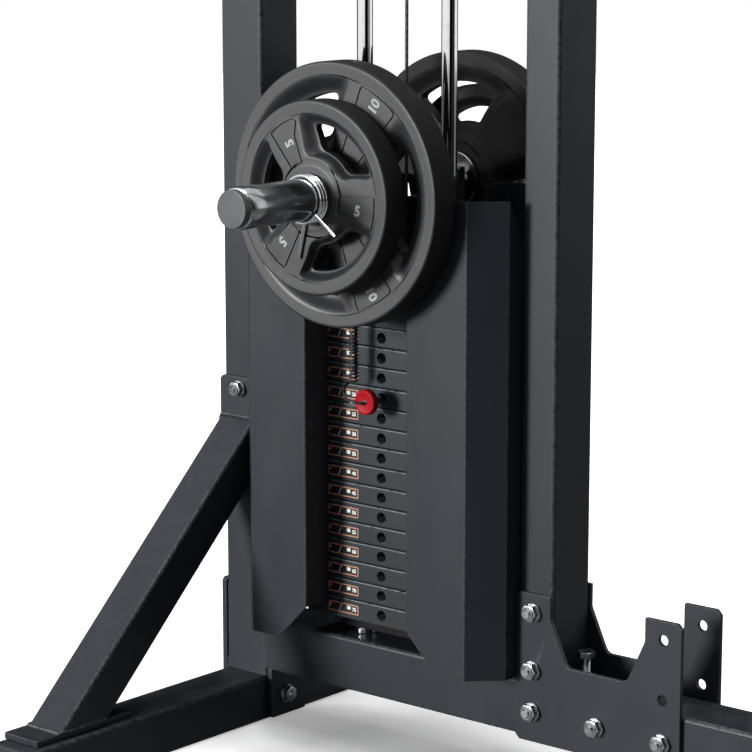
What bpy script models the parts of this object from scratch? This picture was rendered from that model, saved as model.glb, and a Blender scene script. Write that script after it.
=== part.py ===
"""Lat pulldown tower with a selector stack, loading horns and rubber discs.

Units are metres and +Z is up. The base beam runs along X, with the user's side at +X. The near side,
which carries the selector pin, faces -Y. Every X below is measured from the stack's own axis, and the
parent empty moves the whole tower so that the origin lies under the middle of its footprint.
"""

import math

import bmesh
import bpy
from mathutils import Matrix, Vector

GAP = 0.0003
ARC_STEPS = 3

# Uprights
BAY = 0.418
REAR_POST_X = 0.070
REAR_POST_Y = 0.070
FRONT_POST_X = 0.050
FRONT_POST_Y = 0.075
POST_TOP = 2.020
TUBE_WALL = 0.003
TUBE_CORNER = 0.005

# Floor frame
RAIL_HEIGHT = 0.060
RAIL_HALF = 0.450
BEAM_BOTTOM = 0.070
BEAM_HEIGHT = 0.070
BEAM_WIDTH = 0.075
BEAM_FRONT = 0.860
FRONT_FOOT_X = 0.060
FRONT_FOOT_HALF = 0.300
SPLICE_THICK = 0.008
SPLICE_TOP = 0.182
SPLICE_BOTTOM = 0.020
TAB_THICK = 0.008
TAB_HALF = 0.033
TAB_BOTTOM = 0.003

# Braces
BRACE_X = 0.060
BRACE_DEPTH = 0.056
BRACE_SLOPE = 0.96
BRACE_SHOULDER = 0.405
BRACE_TAB_THICK = 0.008
BRACE_TAB_TOP = 0.458
BRACE_TAB_BELOW = 0.110
BRACE_FOOT_MARGIN = 0.040
VENT_RADIUS = 0.010

# Gussets and their bolts
GUSSET_THICK = 0.006
GUSSET_ARM = 0.051
GUSSET_TOP = 0.252
GUSSET_SHOULDER = 0.223
GUSSET_SADDLE = 0.169
GUSSET_SLOPE_X = 0.025
GUSSET_BELOW_BEAM = 0.003
GUSSET_CHAMFER = 0.006
SADDLE_LENGTH = 0.086
BOLT_RADIUS = 0.006
BOLT_CLEARANCE = 0.0008
POST_BOLT_HEIGHTS = (0.229, 0.157)
WASHER_RADIUS = 0.012
WASHER_THICK = 0.0025
NUT_RADIUS = 0.0105
NUT_THICK = 0.010
BOLT_TIP = 0.002
STOP_BOLT_AHEAD = 0.048
STOP_BOLT_HEAD_Z = 0.173
STOP_BOLT_HEAD = 0.0075
STOP_BOLT_DEPTH = 0.020

# Boom and pulleys
BOOM_HEIGHT = 0.070
BOOM_WIDTH = 0.070
BAR_X = 0.760
CABLE_RADIUS = 0.0022
CABLE_ARC_STEPS = 8
PULLEY_PITCH = 0.045
PULLEY_RADIUS = 0.050
PULLEY_WIDTH = 0.018
PULLEY_RISE = 0.010
SLOT_CLEARANCE = 0.004
EAR_THICK = 0.005
EAR_HALF = 0.022
EAR_RISE = 0.018
AXLE_RADIUS = 0.005
AXLE_HEAD_RADIUS = 0.009
AXLE_HEAD = 0.006
RUNNING_CLEARANCE = 0.0006
BOOM_OVERHANG = 0.030
CABLE_HOLE = 0.008

# Guide rods
ROD_X = 0.067
ROD_RADIUS = 0.010
ROD_BORE_CLEARANCE = 0.0014
ROD_IN_BOOM = 0.010
ROD_COLLAR_RADIUS = 0.014
ROD_NUT_BELOW = 0.018
CUSHION_GAP = 0.010
CUSHION_HALF_X = 0.095
CUSHION_HALF_Y = 0.020

# Weight stack
PLATE_COUNT = 15
PINNED_PLATE = 12
PLATE_PITCH = 0.0253
PLATE_HALF_X = 0.125
PLATE_HALF_Y = 0.048
STACK_BOTTOM = 0.170
HEAD_THICK = 0.040
STEM_RADIUS = 0.0105
STEM_CLEARANCE = 0.0025
PIN_RADIUS = 0.005
PIN_CLEARANCE = 0.0012
PIN_PAST_AXIS = 0.0105
PIN_HEAD_RADIUS = 0.016
PIN_HEAD_FACE = 0.081
PIN_HEAD_THICK = 0.010

# Horns, discs and collars
YOKE_X = 0.060
YOKE_THICK = 0.012
YOKE_HALF = 0.079
YOKE_TOP = 0.742
YOKE_BEND = 0.010
CABLE_STUD_RADIUS = 0.011
CABLE_STUD = 0.030
HORN_Z = 0.722
HORN_RADIUS = 0.025
HORN_ROOT_RADIUS = 0.020
HORN_BORE = 0.017
HORN_TIP = 0.3156
HORN_CAP = 0.009
HORN_CAP_RADIUS = 0.0225
FLANGE_RADIUS = 0.035
FLANGE_THICK = 0.006
FLANGE_BACK = 0.0945
DISC_BORE_CLEARANCE = 0.0008
LARGE_RADIUS = 0.160
LARGE_THICK = 0.040
SMALL_RADIUS = 0.1165
SMALL_THICK = 0.0355
DISC_FACE_GAP = 0.0005
DISC_RIM = 0.0145
DISC_HUB = 0.021
DISC_EDGE = 0.006
WINDOW_CORNER = 0.008
POCKET_DEPTH = 0.012
POCKET_HALF_ANGLES = (28, 40)
LARGE_WINDOW = (0.064, 0.124)
LARGE_WINDOW_HALF_ANGLES = (26, 35)
SMALL_WINDOW = (0.060, 0.090)
SMALL_WINDOW_HALF_ANGLES = (23, 34)
# The turn of each disc on its horn: the angle of one window's middle from +X, seen from the near side.
NEAR_LARGE_TURN = -1
NEAR_SMALL_TURN = 56
FAR_LARGE_TURN = 94
FAR_SMALL_TURN = 89
COLLAR_WIRE = 0.0022
COLLAR_POINTS = 16
COLLAR_STEPS = 51
COLLAR_PITCH = 0.0049
COLLAR_LONG_ARM = 0.075
COLLAR_SHORT_ARM = 0.066
COLLAR_START = math.radians(-104)

# Lanyard
CORD_RADIUS = 0.0015
CURL_RADIUS = 0.0045
CURL_PITCH = 0.0044
CURLS = 17
CURL_POINTS = 8
CURL_X = -0.026
CURL_Y = -0.070
CURL_BOTTOM = 0.486

# Shrouds
SHEET = 0.002
SHROUD_FACE = 0.0992
SHROUD_INNER = 0.0808
SHROUD_CHAMFER = 0.036
SHROUD_RETURN_END = 0.0556
SHROUD_SIDE_END = 0.012
SHROUD_TOP = 0.724
SHROUD_BOTTOM = 0.1435
SHROUD_NOTCH = 0.047
SHROUD_SLOPE_END = 0.037
SHROUD_SLOPE_DROP = 0.052

# Pull bar
BAR_RADIUS = 0.014
BAR_HALF = 0.600
BAR_STRAIGHT_HALF = 0.400
BAR_DROP = 0.090
BAR_HANG = 0.220
SWIVEL_RADIUS = 0.015
SWIVEL_HEIGHT = 0.040
SWIVEL_WALL = 0.004
SWIVEL_CLEARANCE = 0.0008
STUD_RADIUS = 0.006
STUD_HEAD_RADIUS = 0.0095
STUD_HEAD = 0.006
STUD_LENGTH = 0.030

# Places that follow from the sizes above
BEAM_TOP = BEAM_BOTTOM + BEAM_HEIGHT
BEAM_MID = BEAM_BOTTOM + BEAM_HEIGHT / 2
REAR_FACE = BAY / 2 + REAR_POST_X
SPLICE_FACE = REAR_FACE + GAP + SPLICE_THICK
ORIGIN_X = (BEAM_FRONT - SPLICE_FACE) / 2
BOOM_BOTTOM = POST_TOP + GAP
BOOM_TOP = BOOM_BOTTOM + BOOM_HEIGHT
PULLEY_Z = BOOM_TOP + PULLEY_RISE
BAR_Z = PULLEY_Z - BAR_HANG
STACK_TOP = STACK_BOTTOM + PLATE_COUNT * PLATE_PITCH
HEAD_TOP = STACK_TOP + HEAD_THICK
YOKE_BOTTOM = HEAD_TOP + GAP
PIN_Z = STACK_BOTTOM + (PINNED_PLATE - 0.5) * PLATE_PITCH
LARGE_BACK = FLANGE_BACK + FLANGE_THICK + DISC_FACE_GAP
SMALL_BACK = LARGE_BACK + LARGE_THICK + DISC_FACE_GAP
COLLAR_BACK = SMALL_BACK + SMALL_THICK + DISC_FACE_GAP
GUSSET_REAR = BAY / 2
GUSSET_INNER = max(FRONT_POST_Y, BEAM_WIDTH) / 2 + GAP
GUSSET_OUTER = GUSSET_INNER + GUSSET_THICK
POST_BOLT_X = (BAY + FRONT_POST_X) / 2
STOP_BOLT_X = POST_BOLT_X + STOP_BOLT_AHEAD
SADDLE_MID = GUSSET_REAR + GUSSET_ARM + GUSSET_SLOPE_X + SADDLE_LENGTH / 2
SWIVEL_BOTTOM = BAR_Z + BAR_RADIUS + STUD_LENGTH - STUD_HEAD - SWIVEL_WALL


def clear_scene():
    """Removes whatever the scene holds at the start."""
    for obj in list(bpy.data.objects):
        bpy.data.objects.remove(obj)


def finish(name, colour, roughness, metallic):
    """Makes one plain Principled material."""
    material = bpy.data.materials.new(name)
    material.use_nodes = True
    shader = material.node_tree.nodes["Principled BSDF"]
    shader.inputs["Base Color"].default_value = (*colour, 1.0)
    shader.inputs["Roughness"].default_value = roughness
    shader.inputs["Metallic"].default_value = metallic
    return material


def make_finishes():
    """The tower's finishes, by the name of what they cover."""
    return {
        "frame": finish("frame_paint", (0.075, 0.080, 0.088), 0.45, 0.0),
        "shroud": finish("shroud_paint", (0.055, 0.058, 0.064), 0.42, 0.0),
        "chrome": finish("chrome", (0.80, 0.80, 0.82), 0.08, 1.0),
        "zinc": finish("zinc_plate", (0.62, 0.63, 0.64), 0.30, 1.0),
        "plate": finish("plate_paint", (0.070, 0.074, 0.080), 0.50, 0.0),
        "rubber": finish("disc_rubber", (0.060, 0.060, 0.062), 0.55, 0.0),
        "cord": finish("cord_plastic", (0.010, 0.010, 0.011), 0.40, 0.0),
        "cable": finish("cable_coat", (0.020, 0.020, 0.022), 0.35, 0.0),
        "red": finish("pin_red", (0.55, 0.010, 0.030), 0.30, 0.6),
        "pulley": finish("pulley_nylon", (0.015, 0.015, 0.016), 0.45, 0.0),
    }


def add_empty(name, location=(0.0, 0.0, 0.0), parent=None):
    """An empty that carries the pieces of one moving group."""
    empty = bpy.data.objects.new(name, None)
    empty.location = location
    empty.parent = parent
    bpy.context.collection.objects.link(empty)
    return empty


def add_piece(name, mesh, material, parent, location=(0.0, 0.0, 0.0), rotation=(0.0, 0.0, 0.0)):
    """Puts a finished mesh into the scene as one named sub-part."""
    mesh = mesh.copy() if mesh.users else mesh
    mesh.name = name
    mesh.materials.clear()
    mesh.materials.append(material)
    mesh.shade_smooth()
    mesh.set_sharp_from_angle(angle=math.radians(35))
    obj = bpy.data.objects.new(name, mesh)
    obj.location = location
    obj.rotation_euler = rotation
    obj.parent = parent
    bpy.context.collection.objects.link(obj)
    return obj


def to_mesh(bm):
    """Ends a bmesh with its faces pointing out."""
    bmesh.ops.recalc_face_normals(bm, faces=bm.faces)
    mesh = bpy.data.meshes.new("work")
    bm.to_mesh(mesh)
    bm.free()
    return mesh


def combine(mesh, tools, operation="DIFFERENCE"):
    """Cuts the tool meshes out of a mesh, or joins them to it, and returns the result."""
    body = bpy.data.objects.new("body", mesh)
    bpy.context.collection.objects.link(body)
    helpers = []
    for tool in tools:
        helper = bpy.data.objects.new("tool", tool)
        bpy.context.collection.objects.link(helper)
        modifier = body.modifiers.new("combine", "BOOLEAN")
        modifier.operation = operation
        modifier.object = helper
        helpers.append(helper)
    graph = bpy.context.evaluated_depsgraph_get()
    result = bpy.data.meshes.new_from_object(body.evaluated_get(graph))
    for obj in (body, *helpers):
        bpy.data.objects.remove(obj)
    return result


def moved(mesh, offset=(0.0, 0.0, 0.0), turn=None):
    """Turns, then shifts a mesh."""
    if turn is not None:
        mesh.transform(turn)
    mesh.transform(Matrix.Translation(Vector(offset)))
    return mesh


ALONG_Y = Matrix.Rotation(math.radians(-90), 4, "X")


def box(low, high):
    """A block between two corners."""
    bm = bmesh.new()
    bmesh.ops.create_cube(bm, size=1.0)
    low, high = Vector(low), Vector(high)
    bmesh.ops.scale(bm, vec=high - low, verts=bm.verts)
    bmesh.ops.translate(bm, vec=(low + high) / 2, verts=bm.verts)
    return to_mesh(bm)


def rod(radius, start, end, segments=12):
    """A cylinder between two points."""
    start, end = Vector(start), Vector(end)
    bm = bmesh.new()
    bmesh.ops.create_cone(
        bm, cap_ends=True, segments=segments, radius1=radius, radius2=radius, depth=(end - start).length
    )
    turn = (end - start).to_track_quat("Z", "Y").to_matrix().to_4x4()
    return moved(to_mesh(bm), (start + end) / 2, turn)


def prism(outline, low, high, plane):
    """Pushes a flat outline through a thickness. plane XZ is pushed along Y, YZ along X and XY along Z."""
    lift = {
        "XZ": lambda a, b, depth: (a, depth, b),
        "YZ": lambda a, b, depth: (depth, a, b),
        "XY": lambda a, b, depth: (a, b, depth),
    }[plane]
    bm = bmesh.new()
    face = bm.faces.new([bm.verts.new(lift(a, b, low)) for a, b in outline])
    pushed = bmesh.ops.extrude_face_region(bm, geom=[face])
    verts = [item for item in pushed["geom"] if isinstance(item, bmesh.types.BMVert)]
    bmesh.ops.translate(bm, vec=Vector(lift(0.0, 0.0, high - low)), verts=verts)
    return to_mesh(bm)


def turned(profile, segments=24):
    """Spins a closed (radius, height) outline about Z. Points at radius 0 lie on the axis."""
    bm = bmesh.new()
    verts = [bm.verts.new((radius, 0.0, height)) for radius, height in profile]
    edges = []
    for first, second in zip(verts, verts[1:] + verts[:1]):
        if first.co.x > 0.0 or second.co.x > 0.0:
            edges.append(bm.edges.new((first, second)))
    bmesh.ops.spin(
        bm, geom=verts + edges, cent=(0, 0, 0), axis=(0, 0, 1), steps=segments, angle=2 * math.pi
    )
    bmesh.ops.remove_doubles(bm, verts=bm.verts, dist=1e-6)
    return to_mesh(bm)


def rounded_corners(width, depth, radius):
    """The corner points of a rounded rectangle about its centre, with each corner as an arc."""
    points = []
    for quarter, (side_x, side_y) in enumerate(((1, 1), (-1, 1), (-1, -1), (1, -1))):
        centre_x = side_x * (width / 2 - radius)
        centre_y = side_y * (depth / 2 - radius)
        for step in range(ARC_STEPS):
            angle = math.radians(90) * (quarter + step / (ARC_STEPS - 1))
            points.append((centre_x + radius * math.cos(angle), centre_y + radius * math.sin(angle)))
    return points


def tube_between(width, depth, low_end, high_end, wall=TUBE_WALL, corner=TUBE_CORNER):
    """An open box tube. low_end and high_end turn a point of its section into the two end points."""
    outer = rounded_corners(width, depth, corner)
    inner = rounded_corners(width - 2 * wall, depth - 2 * wall, corner - wall / 2)
    bm = bmesh.new()
    ends = (low_end, high_end)
    rings = [[bm.verts.new(end(u, v)) for u, v in loop] for loop in (outer, inner) for end in ends]
    for a, b in ((0, 1), (2, 3), (0, 2), (1, 3)):
        first, second = rings[a], rings[b]
        for index, vert in enumerate(first):
            after = (index + 1) % len(first)
            bm.faces.new((vert, first[after], second[after], second[index]))
    return to_mesh(bm)


def straight_tube(width, depth, low, high):
    """A box tube along Z, with width along X and depth along Y."""
    return tube_between(width, depth, lambda u, v: (u, v, low), lambda u, v: (u, v, high))


def smooth_route(points, steps):
    """Reads a smooth curve through hand-chosen points, with the same number of steps in each stretch."""
    ends = [points[0], *points, points[-1]]
    route = []
    for index in range(1, len(ends) - 2):
        before, start, stop, after = (Vector(point) for point in ends[index - 1 : index + 3])
        for step in range(steps):
            t = step / steps
            route.append(
                0.5
                * (
                    2 * start
                    + (stop - before) * t
                    + (2 * before - 5 * start + 4 * stop - after) * t**2
                    + (3 * start - before - 3 * stop + after) * t**3
                )
            )
    route.append(Vector(points[-1]))
    return route


def wire(name, route, radius, material, parent, resolution=1):
    """A round wire along a list of points, with filled ends."""
    curve = bpy.data.curves.new(name, "CURVE")
    curve.dimensions = "3D"
    curve.bevel_depth = radius
    curve.bevel_resolution = resolution
    curve.use_fill_caps = True
    spline = curve.splines.new("POLY")
    spline.points.add(len(route) - 1)
    for point, place in zip(spline.points, route):
        point.co = (*place, 1.0)
    curve.materials.append(material)
    obj = bpy.data.objects.new(name, curve)
    obj.parent = parent
    bpy.context.collection.objects.link(obj)
    return obj


def least_gap(route, radius, turn_points):
    """The least clear distance of a wound wire to its own next turn, measured on its points."""
    skip = turn_points * 2 // 3
    least = min(
        (a - b).length for index, a in enumerate(route) for b in route[index + skip : index + 2 * turn_points]
    )
    return least - 2 * radius


def make_uprights(finishes, root):
    """The wide rear upright stands on the foot rail, and the slim front one on the beam."""
    rear_x = -(BAY + REAR_POST_X) / 2
    rear = straight_tube(REAR_POST_X, REAR_POST_Y, RAIL_HEIGHT + GAP, POST_TOP)
    add_piece("rear_upright", rear, finishes["frame"], root, (rear_x, 0, 0))
    front = straight_tube(FRONT_POST_X, FRONT_POST_Y, BEAM_TOP + GAP, POST_TOP)
    reach = FRONT_POST_Y
    radius = BOLT_RADIUS + BOLT_CLEARANCE
    holes = [rod(radius, (0, -reach, height), (0, reach, height), 8) for height in POST_BOLT_HEIGHTS]
    add_piece("front_upright", combine(front, holes), finishes["frame"], root, (POST_BOLT_X, 0, 0))


def make_base_beam(finishes, root):
    """The long beam with its rear tab and the holes for rods, gusset bolts and stop bolt."""
    start = -BAY / 2 + GAP
    tube = tube_between(
        BEAM_HEIGHT,
        BEAM_WIDTH,
        lambda u, v: (start, v, BEAM_MID + u),
        lambda u, v: (BEAM_FRONT, v, BEAM_MID + u),
    )
    tab = box(
        (start, -TAB_HALF, TAB_BOTTOM),
        (start + TAB_THICK, TAB_HALF, BEAM_BOTTOM + TUBE_WALL * 0.8),
    )
    beam = combine(tube, [tab], "UNION")
    below, above = BEAM_BOTTOM - 0.01, BEAM_TOP + 0.01
    radius = BOLT_RADIUS + BOLT_CLEARANCE
    holes = [rod(radius, (x, 0, below), (x, 0, above), 8) for x in (-ROD_X, ROD_X)]
    holes.append(rod(radius, (STOP_BOLT_X, 0, BEAM_MID), (STOP_BOLT_X, 0, above), 8))
    for x in (POST_BOLT_X, SADDLE_MID):
        holes.append(rod(radius, (x, -BEAM_WIDTH, BEAM_MID), (x, BEAM_WIDTH, BEAM_MID), 8))
    add_piece("base_beam", combine(beam, holes), finishes["frame"], root)


def make_foot_rails(finishes, root):
    """The rear rail with its splice plate, and the front foot."""
    rear_x = -(BAY + REAR_POST_X) / 2
    rail = tube_between(
        REAR_POST_X,
        RAIL_HEIGHT,
        lambda u, v: (rear_x + u, -RAIL_HALF, RAIL_HEIGHT / 2 + v),
        lambda u, v: (rear_x + u, RAIL_HALF, RAIL_HEIGHT / 2 + v),
    )
    half = REAR_POST_Y / 2
    chamfer = SPLICE_THICK / 2
    plate = prism(
        [
            (-half, SPLICE_BOTTOM),
            (half, SPLICE_BOTTOM),
            (half, SPLICE_TOP - chamfer),
            (half - chamfer, SPLICE_TOP),
            (chamfer - half, SPLICE_TOP),
            (-half, SPLICE_TOP - chamfer),
        ],
        -SPLICE_FACE,
        -REAR_FACE - GAP,
        "YZ",
    )
    weld = box(
        (-SPLICE_FACE + chamfer, -half, SPLICE_BOTTOM + chamfer),
        (-REAR_FACE + TUBE_WALL * 0.7, half, RAIL_HEIGHT - TUBE_CORNER),
    )
    welded = combine(combine(plate, [weld], "UNION"), [rail], "UNION")
    add_piece("rear_foot_rail", welded, finishes["frame"], root)
    front_x = BEAM_FRONT - FRONT_FOOT_X / 2
    height = BEAM_BOTTOM - GAP
    foot = tube_between(
        FRONT_FOOT_X,
        height,
        lambda u, v: (front_x + u, -FRONT_FOOT_HALF, height / 2 + v),
        lambda u, v: (front_x + u, FRONT_FOOT_HALF, height / 2 + v),
    )
    add_piece("front_foot_rail", foot, finishes["frame"], root)


def brace_mesh():
    """The near brace: a mitred slanting tube, from a tab on the upright to a foot on the rail."""
    mid_x = -REAR_FACE + BRACE_X / 2
    tab_inner = -REAR_POST_Y / 2 - GAP
    tab_outer = tab_inner - BRACE_TAB_THICK
    foot_top = RAIL_HEIGHT + GAP + BRACE_TAB_THICK
    # BRACE_SHOULDER is the height at which the tube's upper face meets the tab. A cut along the vertical
    # tab, or along the level foot, takes the tube's depth on a slant.
    slant = math.hypot(1.0, BRACE_SLOPE)
    half_height = BRACE_DEPTH / 2 * slant
    half_run = half_height / BRACE_SLOPE
    mid_height = BRACE_SHOULDER - half_height
    sink = BRACE_TAB_THICK / 4

    def upper_end(u, v):
        y = tab_outer + sink
        return (mid_x + u, y, mid_height + sink * BRACE_SLOPE + v * slant)

    def lower_end(u, v):
        z = foot_top - sink
        return (mid_x + u, tab_outer - (mid_height - z + v * slant) / BRACE_SLOPE, z)

    tube = tube_between(BRACE_X, BRACE_DEPTH, lower_end, upper_end)
    chamfer = BRACE_TAB_THICK * 0.6
    left, right = mid_x - BRACE_X / 2, mid_x + BRACE_X / 2
    tab = prism(
        [
            (left, BRACE_SHOULDER - BRACE_TAB_BELOW),
            (right, BRACE_SHOULDER - BRACE_TAB_BELOW),
            (right, BRACE_TAB_TOP - chamfer),
            (right - chamfer, BRACE_TAB_TOP),
            (left + chamfer, BRACE_TAB_TOP),
            (left, BRACE_TAB_TOP - chamfer),
        ],
        tab_outer,
        tab_inner,
        "XZ",
    )
    foot_mid = tab_outer - (mid_height - foot_top) / BRACE_SLOPE
    foot_near = foot_mid - half_run - BRACE_FOOT_MARGIN
    foot_far = foot_mid + half_run + BRACE_FOOT_MARGIN
    foot = box((left, foot_near, RAIL_HEIGHT + GAP), (right, foot_far, foot_top))
    brace = combine(tube, [tab, foot], "UNION")
    vent = rod(VENT_RADIUS, (mid_x, tab_outer - sink, mid_height), (mid_x, tab_inner + sink, mid_height), 8)
    return combine(brace, [vent])


def make_braces(finishes, root):
    """The near brace, and its mirror image on the far side."""
    near = brace_mesh()
    far = near.copy()
    far.transform(Matrix.Scale(-1, 4, (0, 1, 0)))
    far.flip_normals()
    add_piece("brace_near", near, finishes["frame"], root)
    add_piece("brace_far", far, finishes["frame"], root)


def gusset_outline():
    """A saddle: two equal arms, the rear one on the front upright and the front one free."""
    bottom = BEAM_BOTTOM - GUSSET_BELOW_BEAM
    rear_half = [
        (GUSSET_REAR + GUSSET_CHAMFER, bottom),
        (GUSSET_REAR, bottom + GUSSET_CHAMFER),
        (GUSSET_REAR, GUSSET_TOP - GUSSET_CHAMFER),
        (GUSSET_REAR + GUSSET_CHAMFER, GUSSET_TOP),
        (GUSSET_REAR + GUSSET_ARM, GUSSET_TOP),
        (GUSSET_REAR + GUSSET_ARM, GUSSET_SHOULDER),
        (GUSSET_REAR + GUSSET_ARM + GUSSET_SLOPE_X, GUSSET_SADDLE),
    ]
    return rear_half + [(2 * SADDLE_MID - x, z) for x, z in reversed(rear_half)]


def make_gussets(finishes, root):
    """Two plates that clamp upright and beam, with two empty holes in the free arm."""
    radius = BOLT_RADIUS + BOLT_CLEARANCE
    free_x = 2 * SADDLE_MID - POST_BOLT_X
    places = [(x, z) for x in (POST_BOLT_X, free_x) for z in (*POST_BOLT_HEIGHTS, BEAM_MID)]
    places.append((SADDLE_MID, BEAM_MID))
    for name, low, high in (
        ("gusset_near", -GUSSET_OUTER, -GUSSET_INNER),
        ("gusset_far", GUSSET_INNER, GUSSET_OUTER),
    ):
        plate = prism(gusset_outline(), low, high, "XZ")
        holes = [rod(radius, (x, low - 0.01, z), (x, high + 0.01, z), 8) for x, z in places]
        add_piece(name, combine(plate, holes), finishes["frame"], root)


def make_gusset_bolts(finishes, root):
    """Four through bolts with a washer and a nut at either end, and the stop bolt on the beam."""
    washer = GUSSET_OUTER + GAP
    nut = washer + WASHER_THICK
    tip = nut + NUT_THICK
    half = [
        (0.0, tip + BOLT_TIP),
        (BOLT_RADIUS, tip + BOLT_TIP),
        (BOLT_RADIUS, tip),
        (NUT_RADIUS, tip),
        (NUT_RADIUS, nut),
        (WASHER_RADIUS, nut),
        (WASHER_RADIUS, washer),
        (BOLT_RADIUS, washer),
    ]
    bolt = turned(half + [(radius, -height) for radius, height in reversed(half)], 8)
    bolt.transform(ALONG_Y)
    places = [(POST_BOLT_X, z) for z in (*POST_BOLT_HEIGHTS, BEAM_MID)] + [(SADDLE_MID, BEAM_MID)]
    for number, (x, z) in enumerate(places, 1):
        add_piece(f"gusset_bolt_{number}", bolt, finishes["zinc"], root, (x, 0, z))
    stop = turned(
        [
            (0.0, BEAM_TOP - STOP_BOLT_DEPTH),
            (BOLT_RADIUS, BEAM_TOP - STOP_BOLT_DEPTH),
            (BOLT_RADIUS, BEAM_TOP + GAP),
            (NUT_RADIUS, BEAM_TOP + GAP),
            (NUT_RADIUS, BEAM_TOP + GAP + NUT_THICK),
            (BOLT_RADIUS, BEAM_TOP + GAP + NUT_THICK),
            (BOLT_RADIUS, STOP_BOLT_HEAD_Z),
            (NUT_RADIUS, STOP_BOLT_HEAD_Z),
            (NUT_RADIUS, STOP_BOLT_HEAD_Z + STOP_BOLT_HEAD),
            (0.0, STOP_BOLT_HEAD_Z + STOP_BOLT_HEAD),
        ],
        8,
    )
    add_piece("stop_bolt", stop, finishes["zinc"], root, (STOP_BOLT_X, 0, 0))


def make_boom(finishes, root):
    """The boom with ears for both pulleys, their slots, the cable's hole and the rods' holes."""
    end = BAR_X - PULLEY_PITCH + BOOM_OVERHANG
    mid = BOOM_BOTTOM + BOOM_HEIGHT / 2
    tube = tube_between(
        BOOM_HEIGHT,
        BOOM_WIDTH,
        lambda u, v: (-REAR_FACE, v, mid + u),
        lambda u, v: (end, v, mid + u),
    )
    slot_half = PULLEY_WIDTH / 2 + SLOT_CLEARANCE
    ears, cuts = [], []
    for pulley_x in (PULLEY_PITCH, BAR_X - PULLEY_PITCH):
        for side in (-1, 1):
            inner, outer = sorted((side * slot_half, side * (slot_half + EAR_THICK)))
            ears.append(
                box(
                    (pulley_x - EAR_HALF, inner, BOOM_TOP - TUBE_WALL * 0.8),
                    (pulley_x + EAR_HALF, outer, PULLEY_Z + EAR_RISE),
                )
            )
        reach = PULLEY_RADIUS + SLOT_CLEARANCE
        cuts.append(
            box(
                (pulley_x - reach, -slot_half, BOOM_TOP - 3 * TUBE_WALL),
                (pulley_x + reach, slot_half, BOOM_TOP + TUBE_WALL),
            )
        )
        bore = AXLE_RADIUS + RUNNING_CLEARANCE
        cuts.append(rod(bore, (pulley_x, -BOOM_WIDTH, PULLEY_Z), (pulley_x, BOOM_WIDTH, PULLEY_Z), 10))
    low, high = BOOM_BOTTOM - TUBE_WALL, BOOM_BOTTOM + 3 * TUBE_WALL
    cuts.append(rod(CABLE_HOLE, (0, 0, low), (0, 0, high), 10))
    for x in (-ROD_X, ROD_X):
        cuts.append(rod(ROD_RADIUS + ROD_BORE_CLEARANCE, (x, 0, low), (x, 0, high), 12))
    boom = combine(combine(tube, ears, "UNION"), cuts)
    add_piece("top_boom", boom, finishes["frame"], root)


def make_pulleys(finishes, root):
    """Two grooved pulleys, and the axle bolt of each through the boom's ears."""
    # The chords of the cable's arc dip towards the groove's floor, which lies clear of them.
    floor = PULLEY_PITCH * math.cos(math.pi / 4 / CABLE_ARC_STEPS) - CABLE_RADIUS - GAP
    bore = AXLE_RADIUS + RUNNING_CLEARANCE
    half = PULLEY_WIDTH / 2
    mouth = half * 0.7
    pulley = turned(
        [
            (bore, half),
            (PULLEY_RADIUS, half),
            (PULLEY_RADIUS, mouth),
            (floor, CABLE_RADIUS * 1.6),
            (floor, -CABLE_RADIUS * 1.6),
            (PULLEY_RADIUS, -mouth),
            (PULLEY_RADIUS, -half),
            (bore, -half),
        ],
        24,
    )
    pulley.transform(ALONG_Y)
    grip = PULLEY_WIDTH / 2 + SLOT_CLEARANCE + EAR_THICK + GAP
    axle_half = [
        (0.0, grip + AXLE_HEAD),
        (AXLE_HEAD_RADIUS, grip + AXLE_HEAD),
        (AXLE_HEAD_RADIUS, grip),
        (AXLE_RADIUS, grip),
    ]
    axle = turned(axle_half + [(radius, -height) for radius, height in reversed(axle_half)], 10)
    axle.transform(ALONG_Y)
    for label, pulley_x in (("rear", PULLEY_PITCH), ("front", BAR_X - PULLEY_PITCH)):
        place = (pulley_x, 0, PULLEY_Z)
        add_piece(f"{label}_pulley", pulley, finishes["pulley"], root, place)
        add_piece(f"{label}_axle", axle, finishes["zinc"], root, place)


def make_guide_rods(finishes, root):
    """Chromed rods. Each has a collar on the beam, and a stud and nut through and under it."""
    nut_top = BEAM_BOTTOM - GAP
    nut_bottom = BEAM_BOTTOM - ROD_NUT_BELOW
    profile = [
        (0.0, nut_bottom),
        (NUT_RADIUS * 0.8, nut_bottom),
        (NUT_RADIUS * 0.8, nut_top),
        (BOLT_RADIUS, nut_top),
        (BOLT_RADIUS, BEAM_TOP + GAP),
        (ROD_COLLAR_RADIUS, BEAM_TOP + GAP),
        (ROD_COLLAR_RADIUS, BEAM_TOP + CUSHION_GAP - GAP),
        (ROD_RADIUS, BEAM_TOP + CUSHION_GAP - GAP),
        (ROD_RADIUS, POST_TOP + ROD_IN_BOOM),
        (0.0, POST_TOP + ROD_IN_BOOM),
    ]
    guide = turned(profile, 12)
    add_piece("guide_rod_rear", guide, finishes["chrome"], root, (-ROD_X, 0, 0))
    add_piece("guide_rod_front", guide, finishes["chrome"], root, (ROD_X, 0, 0))
    low, high = BEAM_TOP + CUSHION_GAP, STACK_BOTTOM - GAP
    cushion = box((-CUSHION_HALF_X, -CUSHION_HALF_Y, low), (CUSHION_HALF_X, CUSHION_HALF_Y, high))
    bore = ROD_RADIUS + ROD_BORE_CLEARANCE
    holes = [rod(bore, (x, 0, low - 0.01), (x, 0, high + 0.01), 10) for x in (-ROD_X, ROD_X)]
    add_piece("stack_cushion", combine(cushion, holes), finishes["rubber"], root)


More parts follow.
